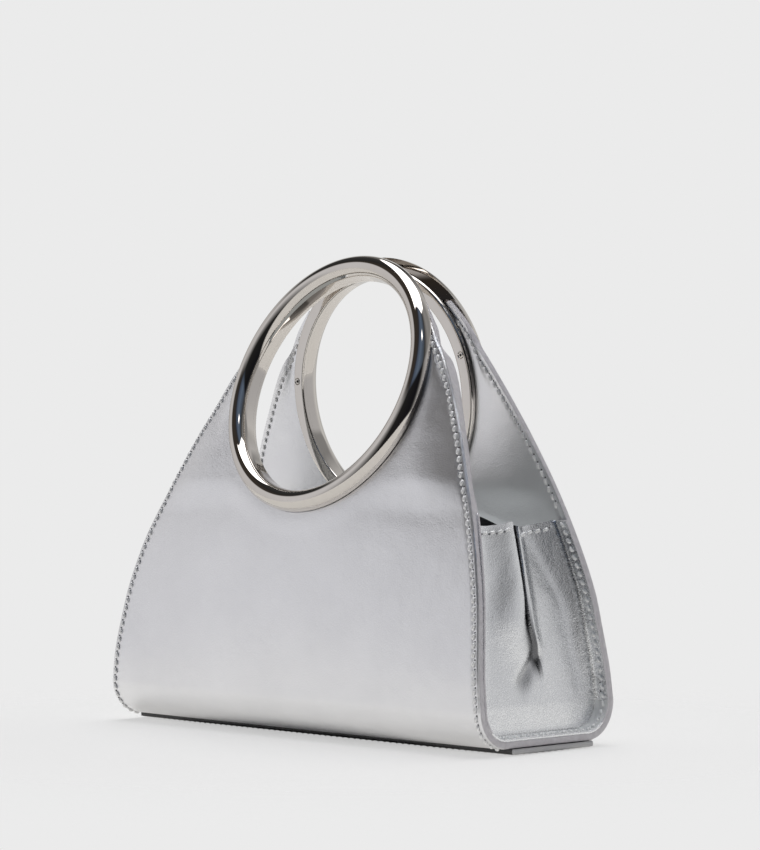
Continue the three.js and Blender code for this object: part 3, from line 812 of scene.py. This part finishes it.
def seam_path(side, hand, runs, behind=False):
    """Stitch line along a panel's side edge, on its outer or its inner face, with normals."""
    def at(inset, shift=0.0):
        z = ARC_CENTRE_Z + np.maximum(runs + shift, 0)
        x = hand * (half_width(z) - inset * np.hypot(1, half_width_slope(z)))
        return panel_point(side, x, runs + shift)

    path = at(SEAM_INSET)
    across = hand * (at(SEAM_INSET - SLOPE_STEP) - at(SEAM_INSET + SLOPE_STEP))
    along = at(SEAM_INSET, RUN_STEP) - at(SEAM_INSET, -RUN_STEP)
    normal = unit(np.cross(across, along)) * -side
    if behind:
        return path - normal * (PANEL_WALL - INNER_SEAM_SINK[hand]), -normal
    return path - normal * STITCH_SINK, normal


def build_panel(name, side):
    points, faces = panel_surface(side)
    distance = seam_distance(points[:, 0], points[:, 2])
    relief = -seam_groove(distance) - edge_roll(distance)
    inner = seam_groove(distance)
    if side == FRONT:
        level = np.clip(points[:, 2], EDGE_EXTRA["z"][0], EDGE_EXTRA["z"][-1])
        thicker = table_curve(EDGE_EXTRA, "z", "wall", level)
        inner = inner - thicker * (1 - smooth(distance, *EDGE_EXTRA_END))
    skin, quads, rim = close_sheet(points, faces, PANEL_WALL, relief, inner)
    slots = rim.astype(int)
    if side == FRONT:
        slots[len(faces):2 * len(faces)] = 2
    add_mesh(f"{name}_panel_leather", skin, quads, [PANEL_LEATHER, EDGE_PAINT, INNER_LEATHER],
             f"{name}_panel", slots)
    top = PANEL_TOP_Z - ARC_CENTRE_Z - SEAM_TOP_CLEAR
    inner_low = GUSSET_TOP_Z + INNER_SEAM_LOW_CLEAR - ARC_CENTRE_Z
    outer_runs = np.linspace(-BEND_RUN + SEAM_LOW_CLEAR, top, SEAM_STEPS)
    inner_runs = np.linspace(inner_low, top - INNER_SEAM_TOP_CLEAR, INNER_SEAM_STEPS)
    rows = []
    for hand in HANDS.values():
        slant = hand * side * STITCH_SLANT
        rows.append(stitch_row(*seam_path(side, hand, outer_runs), slant))
        rows.append(stitch_row(*seam_path(side, hand, inner_runs, behind=True), -slant))
    inner_left_row = 1
    add_stitches(f"{name}_panel_stitches", rows, unmarked=(inner_left_row,))


# Gussets


def web_edge(side, z):
    """Depth in Y of the gusset's web edge, the panel edge set in by the walls and the fold."""
    lean = (edge_depth(side, z + SLOPE_STEP) - edge_depth(side, z - SLOPE_STEP)) / (2 * SLOPE_STEP)
    wall = edge_depth(side, z) - WEB_INSET * np.hypot(1, lean)
    reach = np.sqrt(np.maximum(WEB_CORNER ** 2 - (ARC_CENTRE_Z - z) ** 2, 0))
    corner = edge_depth(side, ARC_CENTRE_Z) - BOTTOM_RADIUS + reach
    return side * np.where(z >= ARC_CENTRE_Z, wall, corner)


def crease_y(z):
    return table_curve(CREASE, "z", "y", z)


def pleat_groove(y, z):
    """Depth of the pleat's groove: narrow and deep above, wide and shallow at its foot, sharp to the back."""
    shut = smooth(z, *PLEAT_SHUT)
    away = y - crease_y(z)
    front = bell(away, lerp(*PLEAT_FRONT_WIDTH, shut))
    back = np.clip(1 - away / PLEAT_BACK_WIDTH, 0, 1)
    return lerp(*PLEAT_DEPTH, shut) * smooth(z, *PLEAT_FOOT) * np.where(away < 0, front, back)


def foot_valley(y, z):
    """Depth of the valley that runs from the foot of the pleat down toward the front."""
    (y0, z0), (y1, z1) = VALLEY
    span_y, span_z = y1 - y0, z1 - z0
    share = np.clip(((y - y0) * span_y + (z - z0) * span_z) / (span_y ** 2 + span_z ** 2), 0, 1)
    away = np.hypot(y - y0 - share * span_y, z - z0 - share * span_z)
    return VALLEY_DEPTH * bell(away, VALLEY_WIDTH) * (1 - smooth(share, *VALLEY_FADE))


def painted_fold_shade(y, z):
    """Painted shade on the pleat: nearly full in its groove, less over the roll at its foot, and some in the
    valley.
    """
    away = y - crease_y(z)
    roll = ROLL_SHADE * bell(np.minimum(away, 0), ROLL_WIDTH)
    roll = roll * smooth(-away, *ROLL_BACK) * smooth(z, *ROLL_FOOT)
    groove = GROOVE_SHADE * smooth(pleat_groove(y, z), *GROOVE_SHADE_DEPTH)
    return np.maximum(lerp(roll, groove, smooth(z, *PLEAT_SHUT)), VALLEY_SHADE * foot_valley(y, z))


def back_hollow(y, z, room):
    """Depth of the hollow beside the back flange: steep by the flange, easing to a slow fall back."""
    high = smooth(z, *BACK_HOLLOW_CHANGE)
    near = lerp(*BACK_HOLLOW_NEAR, high)
    far = lerp(*BACK_HOLLOW_FAR, high)
    share = np.clip((room - near) / (far - near), 0, 1)
    eased = (far - near) * (share ** 3 - share ** 4 / 2) + np.maximum(room - far, 0)
    depth = BACK_HOLLOW_SLOPE * room - (BACK_HOLLOW_SLOPE + BACK_HOLLOW_FALL) * eased
    return lerp(HOLLOW_DEPTH, depth, smooth(y - crease_y(z), 0, HOLLOW_REACH))


def web_relief(side, y, z):
    """How far the web stands out from its plane: soft lips, hollows, and the pleat's groove."""
    lip = LIPS[side]
    room = np.abs(web_edge(side, z) - y)
    change = smooth(z, *LIP_CHANGE)
    away = np.abs(y - crease_y(z)) - lerp(*lip["at"], change)
    crest = lip["height"] * smooth(z, *lip["grow"]) * lerp(1.0, lip["high_share"], smooth(z, *LIP_EASE))
    folds = crest * bell(away, lerp(*lip["width"], change)) - pleat_groove(y, z) - foot_valley(y, z)
    if side == FRONT:
        hollow = HOLLOW_DEPTH * (1 - (1 - np.minimum(room / HOLLOW_REACH, 1)) ** 2)
    else:
        hollow = back_hollow(y, z, room)
    return folds * smooth(room, 0, HOLLOW_REACH) - hollow * smooth(z, *HOLLOW_FOOT)


def web_point(side, share, level):
    """Point of the web by its share from the crease to the flange and its level, sagged near the top edge."""
    def y_at(z):
        return lerp(crease_y(z), web_edge(side, z), share)

    front = web_edge(FRONT, level)
    back = web_edge(BACK, level)
    place = (2 * y_at(level) - front - back) / (back - front)
    sag = table_curve(TOP_EDGE, "across", "z", place) - GUSSET_TOP_Z
    z = level + sag * smooth(level, SAG_FROM, GUSSET_TOP_Z)
    y = y_at(z)
    x = half_width(np.maximum(z, ARC_CENTRE_Z)) - FLANGE + web_relief(side, y, z)
    return np.stack(np.broadcast_arrays(x, y, z), axis=-1)


def gusset_surface():
    """Right-hand gusset: web grid, then fold and flange rows along its front, bottom and back edges."""
    corner = np.radians(np.linspace(90, 0, WEB_CORNER_ROWS, endpoint=False))
    levels = np.concatenate([ARC_CENTRE_Z - WEB_CORNER * np.sin(corner),
                             np.linspace(ARC_CENTRE_Z, GUSSET_TOP_Z, WEB_ROWS)])
    near = np.linspace(0, 1, WEB_COLUMNS) ** 2
    halves = [web_point(side, near[None, :], levels[:, None]) for side in (FRONT, BACK)]
    web = np.concatenate([halves[0][:, ::-1], halves[1][:, 1:]], axis=1)
    rows, columns = web.shape[:2]
    points = web.reshape(-1, 3)
    faces = [grid_faces(rows, columns)]
    rim = np.concatenate([
        np.arange(rows - 1, 0, -1) * columns,
        np.arange(columns),
        np.arange(1, rows) * columns + columns - 1,
    ])
    base = points[rim]
    outward = rim_outward(base)
    last = rim
    layers = [points]
    start = len(points)
    turns = np.radians(np.linspace(*FOLD_TURNS, FOLD_ROWS))
    fold = [(FOLD_RADIUS * math.sin(a), FOLD_RADIUS * (1 - math.cos(a))) for a in turns]
    fold += [(FOLD_RADIUS, d) for d in np.linspace(FOLD_RADIUS, FLANGE, FLANGE_ROWS + 1)[1:]]
    for out, along in fold:
        layer = base + outward * out
        layer[:, 0] += along
        layers.append(layer)
        here = start + np.arange(len(rim))
        faces.append(np.stack([last[:-1], here[:-1], here[1:], last[1:]], -1))
        last = here
        start += len(rim)
    return np.concatenate(layers), np.concatenate(faces), base, outward


def rim_outward(base):
    """Direction in the YZ plane from the web's rim toward the panel."""
    side = np.where(base[:, 1] < 0, FRONT, BACK)
    depth = np.where(side == FRONT, edge_depth(FRONT, ARC_CENTRE_Z), edge_depth(BACK, ARC_CENTRE_Z))
    centre = side * (depth - BOTTOM_RADIUS)
    low = base[:, 2] < ARC_CENTRE_Z
    flat = np.abs(base[:, 1]) <= np.abs(centre) + 0.01
    arm_y = np.where(low, np.where(flat, 0, base[:, 1] - centre), side)
    arm_z = np.where(low, np.where(flat, -1, base[:, 2] - ARC_CENTRE_Z), 0)
    return unit(np.stack([np.zeros(len(base)), arm_y, arm_z], -1))


def gusset_slots(skin, quads, rim):
    """Edge paint on the flange's upper rim, and matt leather where it is gathered round the bottom."""
    middle = skin[quads].mean(axis=1)
    out_of_web = np.abs(middle[:, 0]) - (half_width(np.maximum(middle[:, 2], ARC_CENTRE_Z)) - FLANGE)
    edge = rim & (out_of_web > FLANGE - PAINTED_EDGE) & (middle[:, 2] > WEB_CORNER)
    gathered = ~rim & (out_of_web > GATHER_FROM) & (middle[:, 2] < ARC_CENTRE_Z)
    return edge + 2 * gathered


def hem_path(side):
    """Stitch line of the hem on one side of the pleat, with normals."""
    share = np.linspace(*HEM_SEAM_SHARES, HEM_SEAM_STEPS)
    level = np.full_like(share, GUSSET_TOP_Z - HEM_DROP)
    path = web_point(side, share, level)
    ahead = web_point(side, share, level + SLOPE_STEP) - path
    normal = unit(np.cross(np.gradient(path, axis=0), ahead))
    normal = normal * np.sign(normal[:, :1])
    return path + normal * HEM_STITCH_LIFT, normal


def build_gusset(name, end):
    points, faces, base, outward = gusset_surface()
    on_web = np.arange(len(points)) < len(points) - (FOLD_ROWS + FLANGE_ROWS) * len(base)
    top = table_curve(TOP_EDGE, "across", "z", np.zeros(1))[0] + HEM_ABOVE
    below = top - points[:, 2]
    hem = np.where(on_web, 1 - smooth(below, HEM_DROP + HEM_STEP[0], HEM_DROP + HEM_STEP[1]), 0)
    mirror = np.array([end, 1, 1])
    turned_faces = faces if end > 0 else faces[:, ::-1]
    wall = GUSSET_WALL + HEM_WALL * hem
    skin, quads, rim = close_sheet(points * mirror, turned_faces, wall, HEM_LIFT * hem)
    piece = add_mesh(f"gusset_{name}_leather", skin, quads, [GUSSET_LEATHER, EDGE_PAINT, INNER_LEATHER],
                     f"gusset_{name}", gusset_slots(skin, quads, rim))
    # Painted shade in the pleat's folds, kept on the web's outer points for the leather's colour
    shade = np.zeros(len(skin))
    shade[:len(points)] = painted_fold_shade(points[:, 1], points[:, 2]) * on_web
    mark = piece.data.attributes.new(FOLD_SHADE, "FLOAT", "POINT")
    mark.data.foreach_set("value", shade)

    # Flange seam all round, and a hem seam on each side of the pleat
    seam = base + outward * (FOLD_RADIUS - FLANGE_STITCH_SINK)
    seam[:, 0] += FLANGE - SEAM_INSET
    rows = [stitch_row(seam * mirror, -outward, end * STITCH_SLANT)]
    for side in (FRONT, BACK):
        path, normal = hem_path(side)
        rows.append(stitch_row(path * mirror, normal * mirror, STITCH_SLANT / 2))
    add_stitches(f"gusset_{name}_stitches", rows)


# Base strip


def strip_stations(half, middle):
    """Places across the strip for a half size, close together near both edges."""
    outer = half - STRIP_EDGE_ROWS[::-1]
    return np.concatenate([-outer[::-1], np.linspace(-outer[0], outer[0], middle)[1:-1], outer])


def build_base():
    along = strip_stations(STRIP_HALF_LENGTH, STRIP_ROWS_ALONG)
    across = strip_stations(STRIP_HALF_WIDTH, STRIP_ROWS_ACROSS)
    x, y = np.meshgrid(along, across, indexing="ij")
    points = np.stack([x, y + STRIP_SHIFT, np.zeros_like(x)], -1).reshape(-1, 3)
    faces = grid_faces(len(along), len(across))
    distance = np.minimum(STRIP_HALF_WIDTH - np.abs(y), STRIP_HALF_LENGTH - np.abs(x)).ravel()
    seam = STRIP_SEAM_GROOVE * bell(distance - SEAM_INSET, STRIP_SEAM_WIDTH)
    roll = edge_roll(distance)
    skin, quads, rim = close_sheet(points, faces, STRIP_WALL, -seam - roll, -roll, STRIP_RIM_BULGE)
    at_end = np.abs(skin[quads].mean(axis=1)[:, 0]) > STRIP_HALF_LENGTH - EDGE_ROLL
    # Painted shade on the strip's long rims; its ends keep the strip leather
    add_mesh("base_strip_leather", skin, quads, [STRIP_LEATHER, STRIP_EDGE], "base_panel",
             rim & ~at_end)
    length = STRIP_HALF_LENGTH - SEAM_INSET
    width = STRIP_HALF_WIDTH - SEAM_INSET
    corners = [(-length, -width), (length, -width), (length, width), (-length, width)]
    share = np.linspace(*STRIP_SEAM_SHARES, STRIP_SEAM_STEPS)
    level = np.full_like(share, STRIP_STITCH_Z)
    down = np.tile([0.0, 0.0, -1.0], (len(share), 1))
    rows = []
    for (x0, y0), (x1, y1) in zip(corners, corners[1:] + corners[:1]):
        path = np.stack([lerp(x0, x1, share), lerp(y0, y1, share) + STRIP_SHIFT, level], -1)
        rows.append(stitch_row(path, down))
    add_stitches("base_strip_stitches", rows)


# Rings


def turned(side, low, high=None):
    """Closed (radius, height) section turned about a ring's axis; high is the section for its top."""
    low = np.asarray(low)
    high = low if high is None else np.asarray(high)
    angle = full_turn(RING_STEPS)[:, None]
    upper = (angle > SHOULDER_FROM) & (angle < math.pi - SHOULDER_FROM)
    radius = np.where(upper, high[None, :, 0], low[None, :, 0])
    grid = ring_point(side, radius, angle, low[None, :, 1])
    rows, columns = grid.shape[:2]
    faces = grid_faces(rows + 1, columns, closed=True) % (rows * columns)
    return grid.reshape(-1, 3), faces if side == BACK else faces[:, ::-1]


def ring_section(outer):
    """Half-round bead with a bore sleeve through the leather, as wide as given behind the bead."""
    middle = (RING_OUTER + RING_BORE) / 2
    reach = (RING_OUTER - RING_BORE) / 2
    section = []
    for a in np.linspace(0, math.pi, BEAD_STEPS):
        section.append((middle + reach * math.cos(a), FIT_GAP + (RING_HEIGHT - FIT_GAP) * math.sin(a)))
    sleeve_end = PLATE_NEAR + SLEEVE_GAP
    return section + [(RING_BORE, sleeve_end), (outer, sleeve_end), (outer, FIT_GAP)]


def rounded_corner(corner, before, after, radius):
    """Points of a corner cut round between its two neighbours."""
    corner = np.array(corner)
    back = unit(np.array(before) - corner) * radius
    ahead = unit(np.array(after) - corner) * radius
    return [corner + back * (1 - t) ** 2 + ahead * t ** 2 for t in np.linspace(0, 1, CORNER_STEPS)]


def plate_section():
    """Flat plate with its two free edges cut round, the outer one more."""
    outer_near = (PLATE_OUTER, PLATE_NEAR)
    bore_near = (RING_BORE, PLATE_NEAR)
    bore_far = (RING_BORE, PLATE_FAR)
    outer_far = (PLATE_OUTER, PLATE_FAR)
    bore_edge = rounded_corner(bore_far, bore_near, outer_far, PLATE_ROUNDING)
    outer_edge = rounded_corner(outer_far, bore_far, outer_near, PLATE_OUTER_ROUNDING)
    return [outer_near, bore_near, *bore_edge, *outer_edge]


def lathe_at(side, angle, profile, steps):
    """Solid turned along a ring's axis at a screw's place, from (radius, height) pairs."""
    axis = unit(ring_point(side, 0.0, 0.0, 1.0) - ring_point(side, 0.0, 0.0, 0.0))
    across = np.array([1.0, 0.0, 0.0])
    third = np.cross(axis, across)
    centre = ring_point(side, SCREW_CIRCLE, angle, 0.0)
    turns = full_turn(steps)
    spokes = np.outer(np.cos(turns), across) + np.outer(np.sin(turns), third)
    return capped_tube([centre + axis * h + r * spokes for r, h in profile], flipped=True)


def cut_away(piece, points, faces):
    """Boolean cut of a solid from a piece, applied to the piece's mesh."""
    cutter = bpy.data.objects.new("cutter", bpy.data.meshes.new("cutter"))
    cutter.data.from_pydata((points * MM).tolist(), [], faces)
    bpy.context.scene.collection.objects.link(cutter)
    modifier = piece.modifiers.new("cut", "BOOLEAN")
    modifier.operation = "DIFFERENCE"
    modifier.solver = "EXACT"
    modifier.object = cutter
    evaluated = piece.evaluated_get(bpy.context.evaluated_depsgraph_get())
    mesh = bpy.data.meshes.new_from_object(evaluated)
    piece.modifiers.clear()
    old = piece.data
    piece.data = mesh
    bpy.data.meshes.remove(old)
    piece.data.name = piece.name
    bpy.data.objects.remove(cutter)
    shade_smooth(piece.data, CUT_SHARP)


def build_ring(name, side):
    points, faces = turned(side, ring_section(SLEEVE_OUTER), ring_section(SHOULDER_OUTER))
    add_mesh(f"{name}_ring_metal", points, faces, [NICKEL], f"{name}_ring", sharp=METAL_SHARP)
    points, faces = turned(side, plate_section())
    plate = add_mesh(f"{name}_ring_plate_metal", points, faces, [NICKEL], f"{name}_ring_plate",
                     sharp=METAL_SHARP)
    for hand, angle in SCREW_ANGLES.items():
        cut_away(plate, *lathe_at(side, angle, SCREW_SINK, HOLE_STEPS))
        points, faces = lathe_at(side, angle, SCREW_BODY, SCREW_STEPS)
        # The socket's floor at the screw's end takes the dark hole material as painted shade
        slots = [0] * len(faces)
        slots[-1] = 1
        add_mesh(f"{name}_screw_{hand}_metal", points, faces, [NICKEL, NEEDLE_HOLE_SHADE],
                 f"{name}_screw_{hand}", slots, METAL_SHARP)


# Lining


def build_lining():
    inset_wall = PANEL_WALL + PLATE_WALL + 3 * FIT_GAP
    bend = BOTTOM_RADIUS - inset_wall
    turn = full_turn(LINING_STEPS)

    def square(value):
        return np.sign(value) * np.abs(value) ** LINING_SQUARENESS

    def loop(z, inset):
        z = np.broadcast_to(z, turn.shape)
        level = np.maximum(z, ARC_CENTRE_Z)
        pull = bend - np.sqrt(np.maximum(bend ** 2 - (level - z) ** 2, 0))
        x = square(np.cos(turn)) * (half_width(level) - LINING_END_INSET - inset)
        depth = np.where(np.sin(turn) < 0, panel_depth(FRONT, x, level), panel_depth(BACK, x, level))
        y = square(np.sin(turn)) * (depth - inset_wall - pull - inset)
        return np.stack([x, y, z], -1)

    at_front = loop(LINING_RIM_FRONT, 0)
    fall = smooth(np.abs(at_front[:, 0]), LINING_RIM_FLAT, LINING_RIM_FLAT + LINING_RIM_FALL)
    behind = smooth(at_front[:, 1], -LINING_RIM_TURN, LINING_RIM_TURN)
    rim = lerp(LINING_RIM_FRONT, LINING_RIM_BACK, behind) - LINING_RIM_DIP * fall

    def skin(inset):
        bend_z = np.linspace(LINING_FLOOR_Z, ARC_CENTRE_Z, LINING_BEND_ROWS, endpoint=False)
        low = [loop(z, inset) for z in bend_z]
        low[0][:, 2] += inset
        wall_shares = np.linspace(0, 1, LINING_WALL_ROWS)
        return low + [loop(lerp(ARC_CENTRE_Z, rim, share), inset) for share in wall_shares]

    points, faces = capped_tube(skin(0) + skin(LINING_WALL)[::-1])
    add_mesh("lining_pouch", points, faces, [LINING], "lining")


for side_name, side_value in SIDES.items():
    build_panel(side_name, side_value)
    build_ring(side_name, side_value)
for hand_name, hand_value in HANDS.items():
    build_gusset(hand_name, hand_value)
build_base()
build_lining()


# Stage, light and camera

BACKDROP = (0.831, 0.831, 0.831)
FLOOR_RADIUS = 0.62
FLOOR_CORNERS = 96
FLOOR_DROP = 0.0003
FLOOR_COLOUR = (0.88, 0.875, 0.865)
FLOOR_LIFT = 0.6
FLOOR_FADE = (0.10, 0.30)
# Share of painted glow the leather sees on the floor, by the floor's place along the bag's length in metres
PAINTED_FLOOR_GLOW = [(0.105, 0.5), (0.14, 0.48), (0.24, 0.52), (0.36, 0.4)]
PAINTED_FLOOR_GLOW_COLOUR = (0.91, 0.895, 0.85)
# Footprint that the painted glow leaves out, a painted shadow in the leather's reflections, and the edge of
# its fade in shares of it
FOOTPRINT = (0.110, 0.030)
FOOTPRINT_EDGE = (0.9, 1.25)
# Studio round the bag at eye level, by bearing in degrees: 0 is the bag's front, 90 its right end
HORIZON = [
    (-180, (0.64, 0.64, 0.63)),
    (-130, (0.68, 0.68, 0.67)),
    (-112, (0.50, 0.49, 0.48)),
    (-98, (0.48, 0.47, 0.47)),
    (-85, (0.69, 0.68, 0.68)),
    (-45, (0.77, 0.77, 0.79)),
    (-36, (0.73, 0.73, 0.75)),
    (-27, (0.56, 0.56, 0.57)),
    (-15, (0.34, 0.34, 0.35)),
    (-3, (0.16, 0.16, 0.16)),
    (10, (0.02, 0.02, 0.02)),
    (78, (0.010, 0.010, 0.013)),
    (87, (0.05, 0.05, 0.05)),
    (96, (0.30, 0.30, 0.30)),
    (108, (0.46, 0.46, 0.47)),
    (118, (0.54, 0.54, 0.55)),
    (134, (0.57, 0.57, 0.58)),
    (148, (0.66, 0.66, 0.66)),
    (166, (0.80, 0.80, 0.79)),
    (180, (0.64, 0.64, 0.63)),
]
# The same higher up, and the heights of a direction between which it takes over
UPPER = [
    (-180, (0.62, 0.62, 0.62)),
    (-168, (0.30, 0.30, 0.30)),
    (-150, (0.06, 0.06, 0.06)),
    (-128, (0.22, 0.21, 0.20)),
    (-112, (0.05, 0.05, 0.05)),
    (-70, (0.03, 0.03, 0.03)),
    (-58, (0.05, 0.042, 0.035)),
    (-20, (0.05, 0.042, 0.035)),
    (5, (0.04, 0.04, 0.045)),
    (18, (0.09, 0.12, 0.18)),
    (45, (0.14, 0.19, 0.27)),
    (70, (0.09, 0.12, 0.17)),
    (92, (0.06, 0.06, 0.06)),
    (104, (0.20, 0.20, 0.20)),
    (122, (0.34, 0.34, 0.34)),
    (150, (0.30, 0.30, 0.30)),
    (166, (0.50, 0.50, 0.50)),
    (180, (0.62, 0.62, 0.62)),
]
UPPER_FROM = (0.45, 0.55)
# Below the horizon the floor's own brightness goes on
NADIR = (0.76, 0.75, 0.73, 1)
NADIR_TO = (-0.26, -0.16)
# Soft box and small lamp overhead, each bounded by lines a x + b y > c on a plane one unit up
OVERHEAD = [
    [(1, 0.46, -0.52), (-1, 1, -0.36), (-1, 0, -0.36), (-1, -1, -0.68), (0, -1, -0.58)],
    [(1, 0, 0.46), (-1, 0, -0.62), (0, 1, -0.45), (0, -1, 0.33)],
]
OVERHEAD_COLOUR = (3.6, 3.6, 3.62, 1)
OVERHEAD_SOFT = 0.03
OVERHEAD_FROM = 0.2
# Camera of the photograph: bearing and height in degrees, metres, and its focal length in frame pixels
FRAME_HEIGHT = 850
SENSOR = 36
CAMERA_FOCAL = 2498
CAMERA_AZIMUTH = 45.74
CAMERA_ELEVATION = -1.35
CAMERA_DISTANCE = 1.022
CAMERA_AIM = (0.0146, 0.00275, 0.1257)


def math_node(tree, operation, *values):
    return add_node(tree, "Math", dict(enumerate(values)), operation=operation).outputs[0]


def smooth_step(tree, value, low, high, top=1.0):
    """Rises smoothly from 0 to a top as the value goes from low to high."""
    inputs = {"Value": value, "From Min": low, "From Max": high, "To Max": top}
    return add_node(tree, "MapRange", inputs, interpolation_type="SMOOTHSTEP").outputs["Result"]


def vector_length(tree, vector):
    return add_node(tree, "VectorMath", {0: vector}, operation="LENGTH").outputs["Value"]


def bearing_ramp(tree, share, stops):
    return colour_ramp(tree, share, [(degrees / 360 + 0.5, colour) for degrees, colour in stops])


def overhead_light(tree, direction, height, lines, dome):
    """Dome with a patch of light where the direction meets a level plane inside the lines."""
    inside = math_node(tree, "GREATER_THAN", height, OVERHEAD_FROM)
    over = math_node(tree, "DIVIDE", 1.0, height)
    place = add_node(tree, "VectorMath", {0: direction, "Scale": over}, operation="SCALE").outputs[0]
    for a, b, c in lines:
        along = add_node(tree, "VectorMath", {0: place, 1: (a, b, 0)}, operation="DOT_PRODUCT")
        step = smooth_step(tree, along.outputs["Value"], c - OVERHEAD_SOFT, c + OVERHEAD_SOFT)
        inside = math_node(tree, "MULTIPLY", inside, step)
    return mix_colours(tree, inside, dome, OVERHEAD_COLOUR)


def build_world():
    """Studio that the bag mirrors, behind a plain backdrop for the camera."""
    world = bpy.data.worlds.new("studio")
    bpy.context.scene.world = world
    world.use_nodes = True
    tree = world.node_tree
    tree.nodes.clear()
    direction = add_node(tree, "TexCoord").outputs["Generated"]
    axes = add_node(tree, "SeparateXYZ", {"Vector": direction}).outputs
    height = axes["Z"]
    forward = math_node(tree, "MULTIPLY", axes["Y"], -1.0)
    bearing = math_node(tree, "ARCTAN2", axes["X"], forward)
    share = math_node(tree, "MULTIPLY_ADD", bearing, 1 / (2 * math.pi), 0.5)
    horizon = bearing_ramp(tree, share, HORIZON)
    upper = bearing_ramp(tree, share, UPPER)
    dome = mix_colours(tree, smooth_step(tree, height, *UPPER_FROM), horizon, upper)
    for lines in OVERHEAD:
        dome = overhead_light(tree, direction, height, lines, dome)
    dome = mix_colours(tree, smooth_step(tree, height, *NADIR_TO), NADIR, dome)
    studio = add_node(tree, "Background", {"Color": dome}).outputs[0]
    plain = add_node(tree, "Background", {"Color": (*BACKDROP, 1)}).outputs[0]
    seen = add_node(tree, "LightPath").outputs["Is Camera Ray"]
    add_node(tree, "OutputWorld", {"Surface": mix_shaders(tree, seen, studio, plain)})


def floor_material():
    """Floor that takes the bag's soft shadow; for the leather it carries a painted glow as bright as the
    sweep round the bag, left out in the footprint as painted shadow.
    """
    material = bpy.data.materials.new("floor")
    material.use_nodes = True
    tree = material.node_tree
    tree.nodes.clear()
    seen = add_node(tree, "LightPath").outputs["Is Camera Ray"]
    place = add_node(tree, "TexCoord").outputs["Object"]
    diffuse = add_node(tree, "BsdfDiffuse", {"Color": (*FLOOR_COLOUR, 1)}).outputs[0]
    glow = add_node(tree, "Emission", {"Color": (*BACKDROP, 1)}).outputs[0]
    seen_floor = mix_shaders(tree, FLOOR_LIFT, diffuse, glow)

    # Share of painted glow in the leather: none in the bag's footprint, which reads as painted shadow, and by
    # the place along the bag beyond it
    footprint = {0: place, 1: (1 / FOOTPRINT[0], 1 / FOOTPRINT[1], 0)}
    scaled = add_node(tree, "VectorMath", footprint, operation="MULTIPLY").outputs[0]
    along = add_node(tree, "SeparateXYZ", {"Vector": place}).outputs["X"]
    strength = colour_ramp(tree, along, [(at, (amount,) * 3) for at, amount in PAINTED_FLOOR_GLOW])
    share = smooth_step(tree, vector_length(tree, scaled), *FOOTPRINT_EDGE, strength)
    painted_glow = add_node(tree, "Emission", {"Color": (*PAINTED_FLOOR_GLOW_COLOUR, 1)}).outputs[0]
    mirrored_floor = mix_shaders(tree, share, diffuse, painted_glow)
    lit = mix_shaders(tree, seen, mirrored_floor, seen_floor)

    # Away from the bag the floor fades into the backdrop
    clear = add_node(tree, "BsdfTransparent").outputs[0]
    fade = smooth_step(tree, vector_length(tree, place), *FLOOR_FADE)
    surface = mix_shaders(tree, math_node(tree, "MULTIPLY", fade, seen), lit, clear)
    add_node(tree, "OutputMaterial", {"Surface": surface})
    return material


def build_floor():
    turns = full_turn(FLOOR_CORNERS)
    level = np.full(FLOOR_CORNERS, -FLOOR_DROP)
    ring = np.stack([np.cos(turns) * FLOOR_RADIUS, np.sin(turns) * FLOOR_RADIUS, level], -1)
    mesh = bpy.data.meshes.new("floor")
    mesh.from_pydata(ring.tolist(), [], [list(range(FLOOR_CORNERS))])
    mesh.materials.append(floor_material())
    floor = bpy.data.objects.new("floor", mesh)
    bpy.context.scene.collection.objects.link(floor)


def build_camera():
    camera = bpy.data.cameras.new("camera")
    camera.sensor_width = SENSOR
    camera.lens = CAMERA_FOCAL * SENSOR / FRAME_HEIGHT
    viewer = bpy.data.objects.new("camera", camera)
    bpy.context.scene.collection.objects.link(viewer)
    azimuth = math.radians(CAMERA_AZIMUTH)
    rise = math.radians(CAMERA_ELEVATION)
    level = math.cos(rise)
    back = Vector((math.sin(azimuth) * level, -math.cos(azimuth) * level, math.sin(rise)))
    turn = back.to_track_quat("Z", "Y").to_matrix().to_4x4()
    viewer.matrix_world = Matrix.Translation(Vector(CAMERA_AIM) + back * CAMERA_DISTANCE) @ turn
    bpy.context.scene.camera = viewer


build_world()
build_floor()
build_camera()
bpy.context.scene.view_settings.view_transform = "Standard"
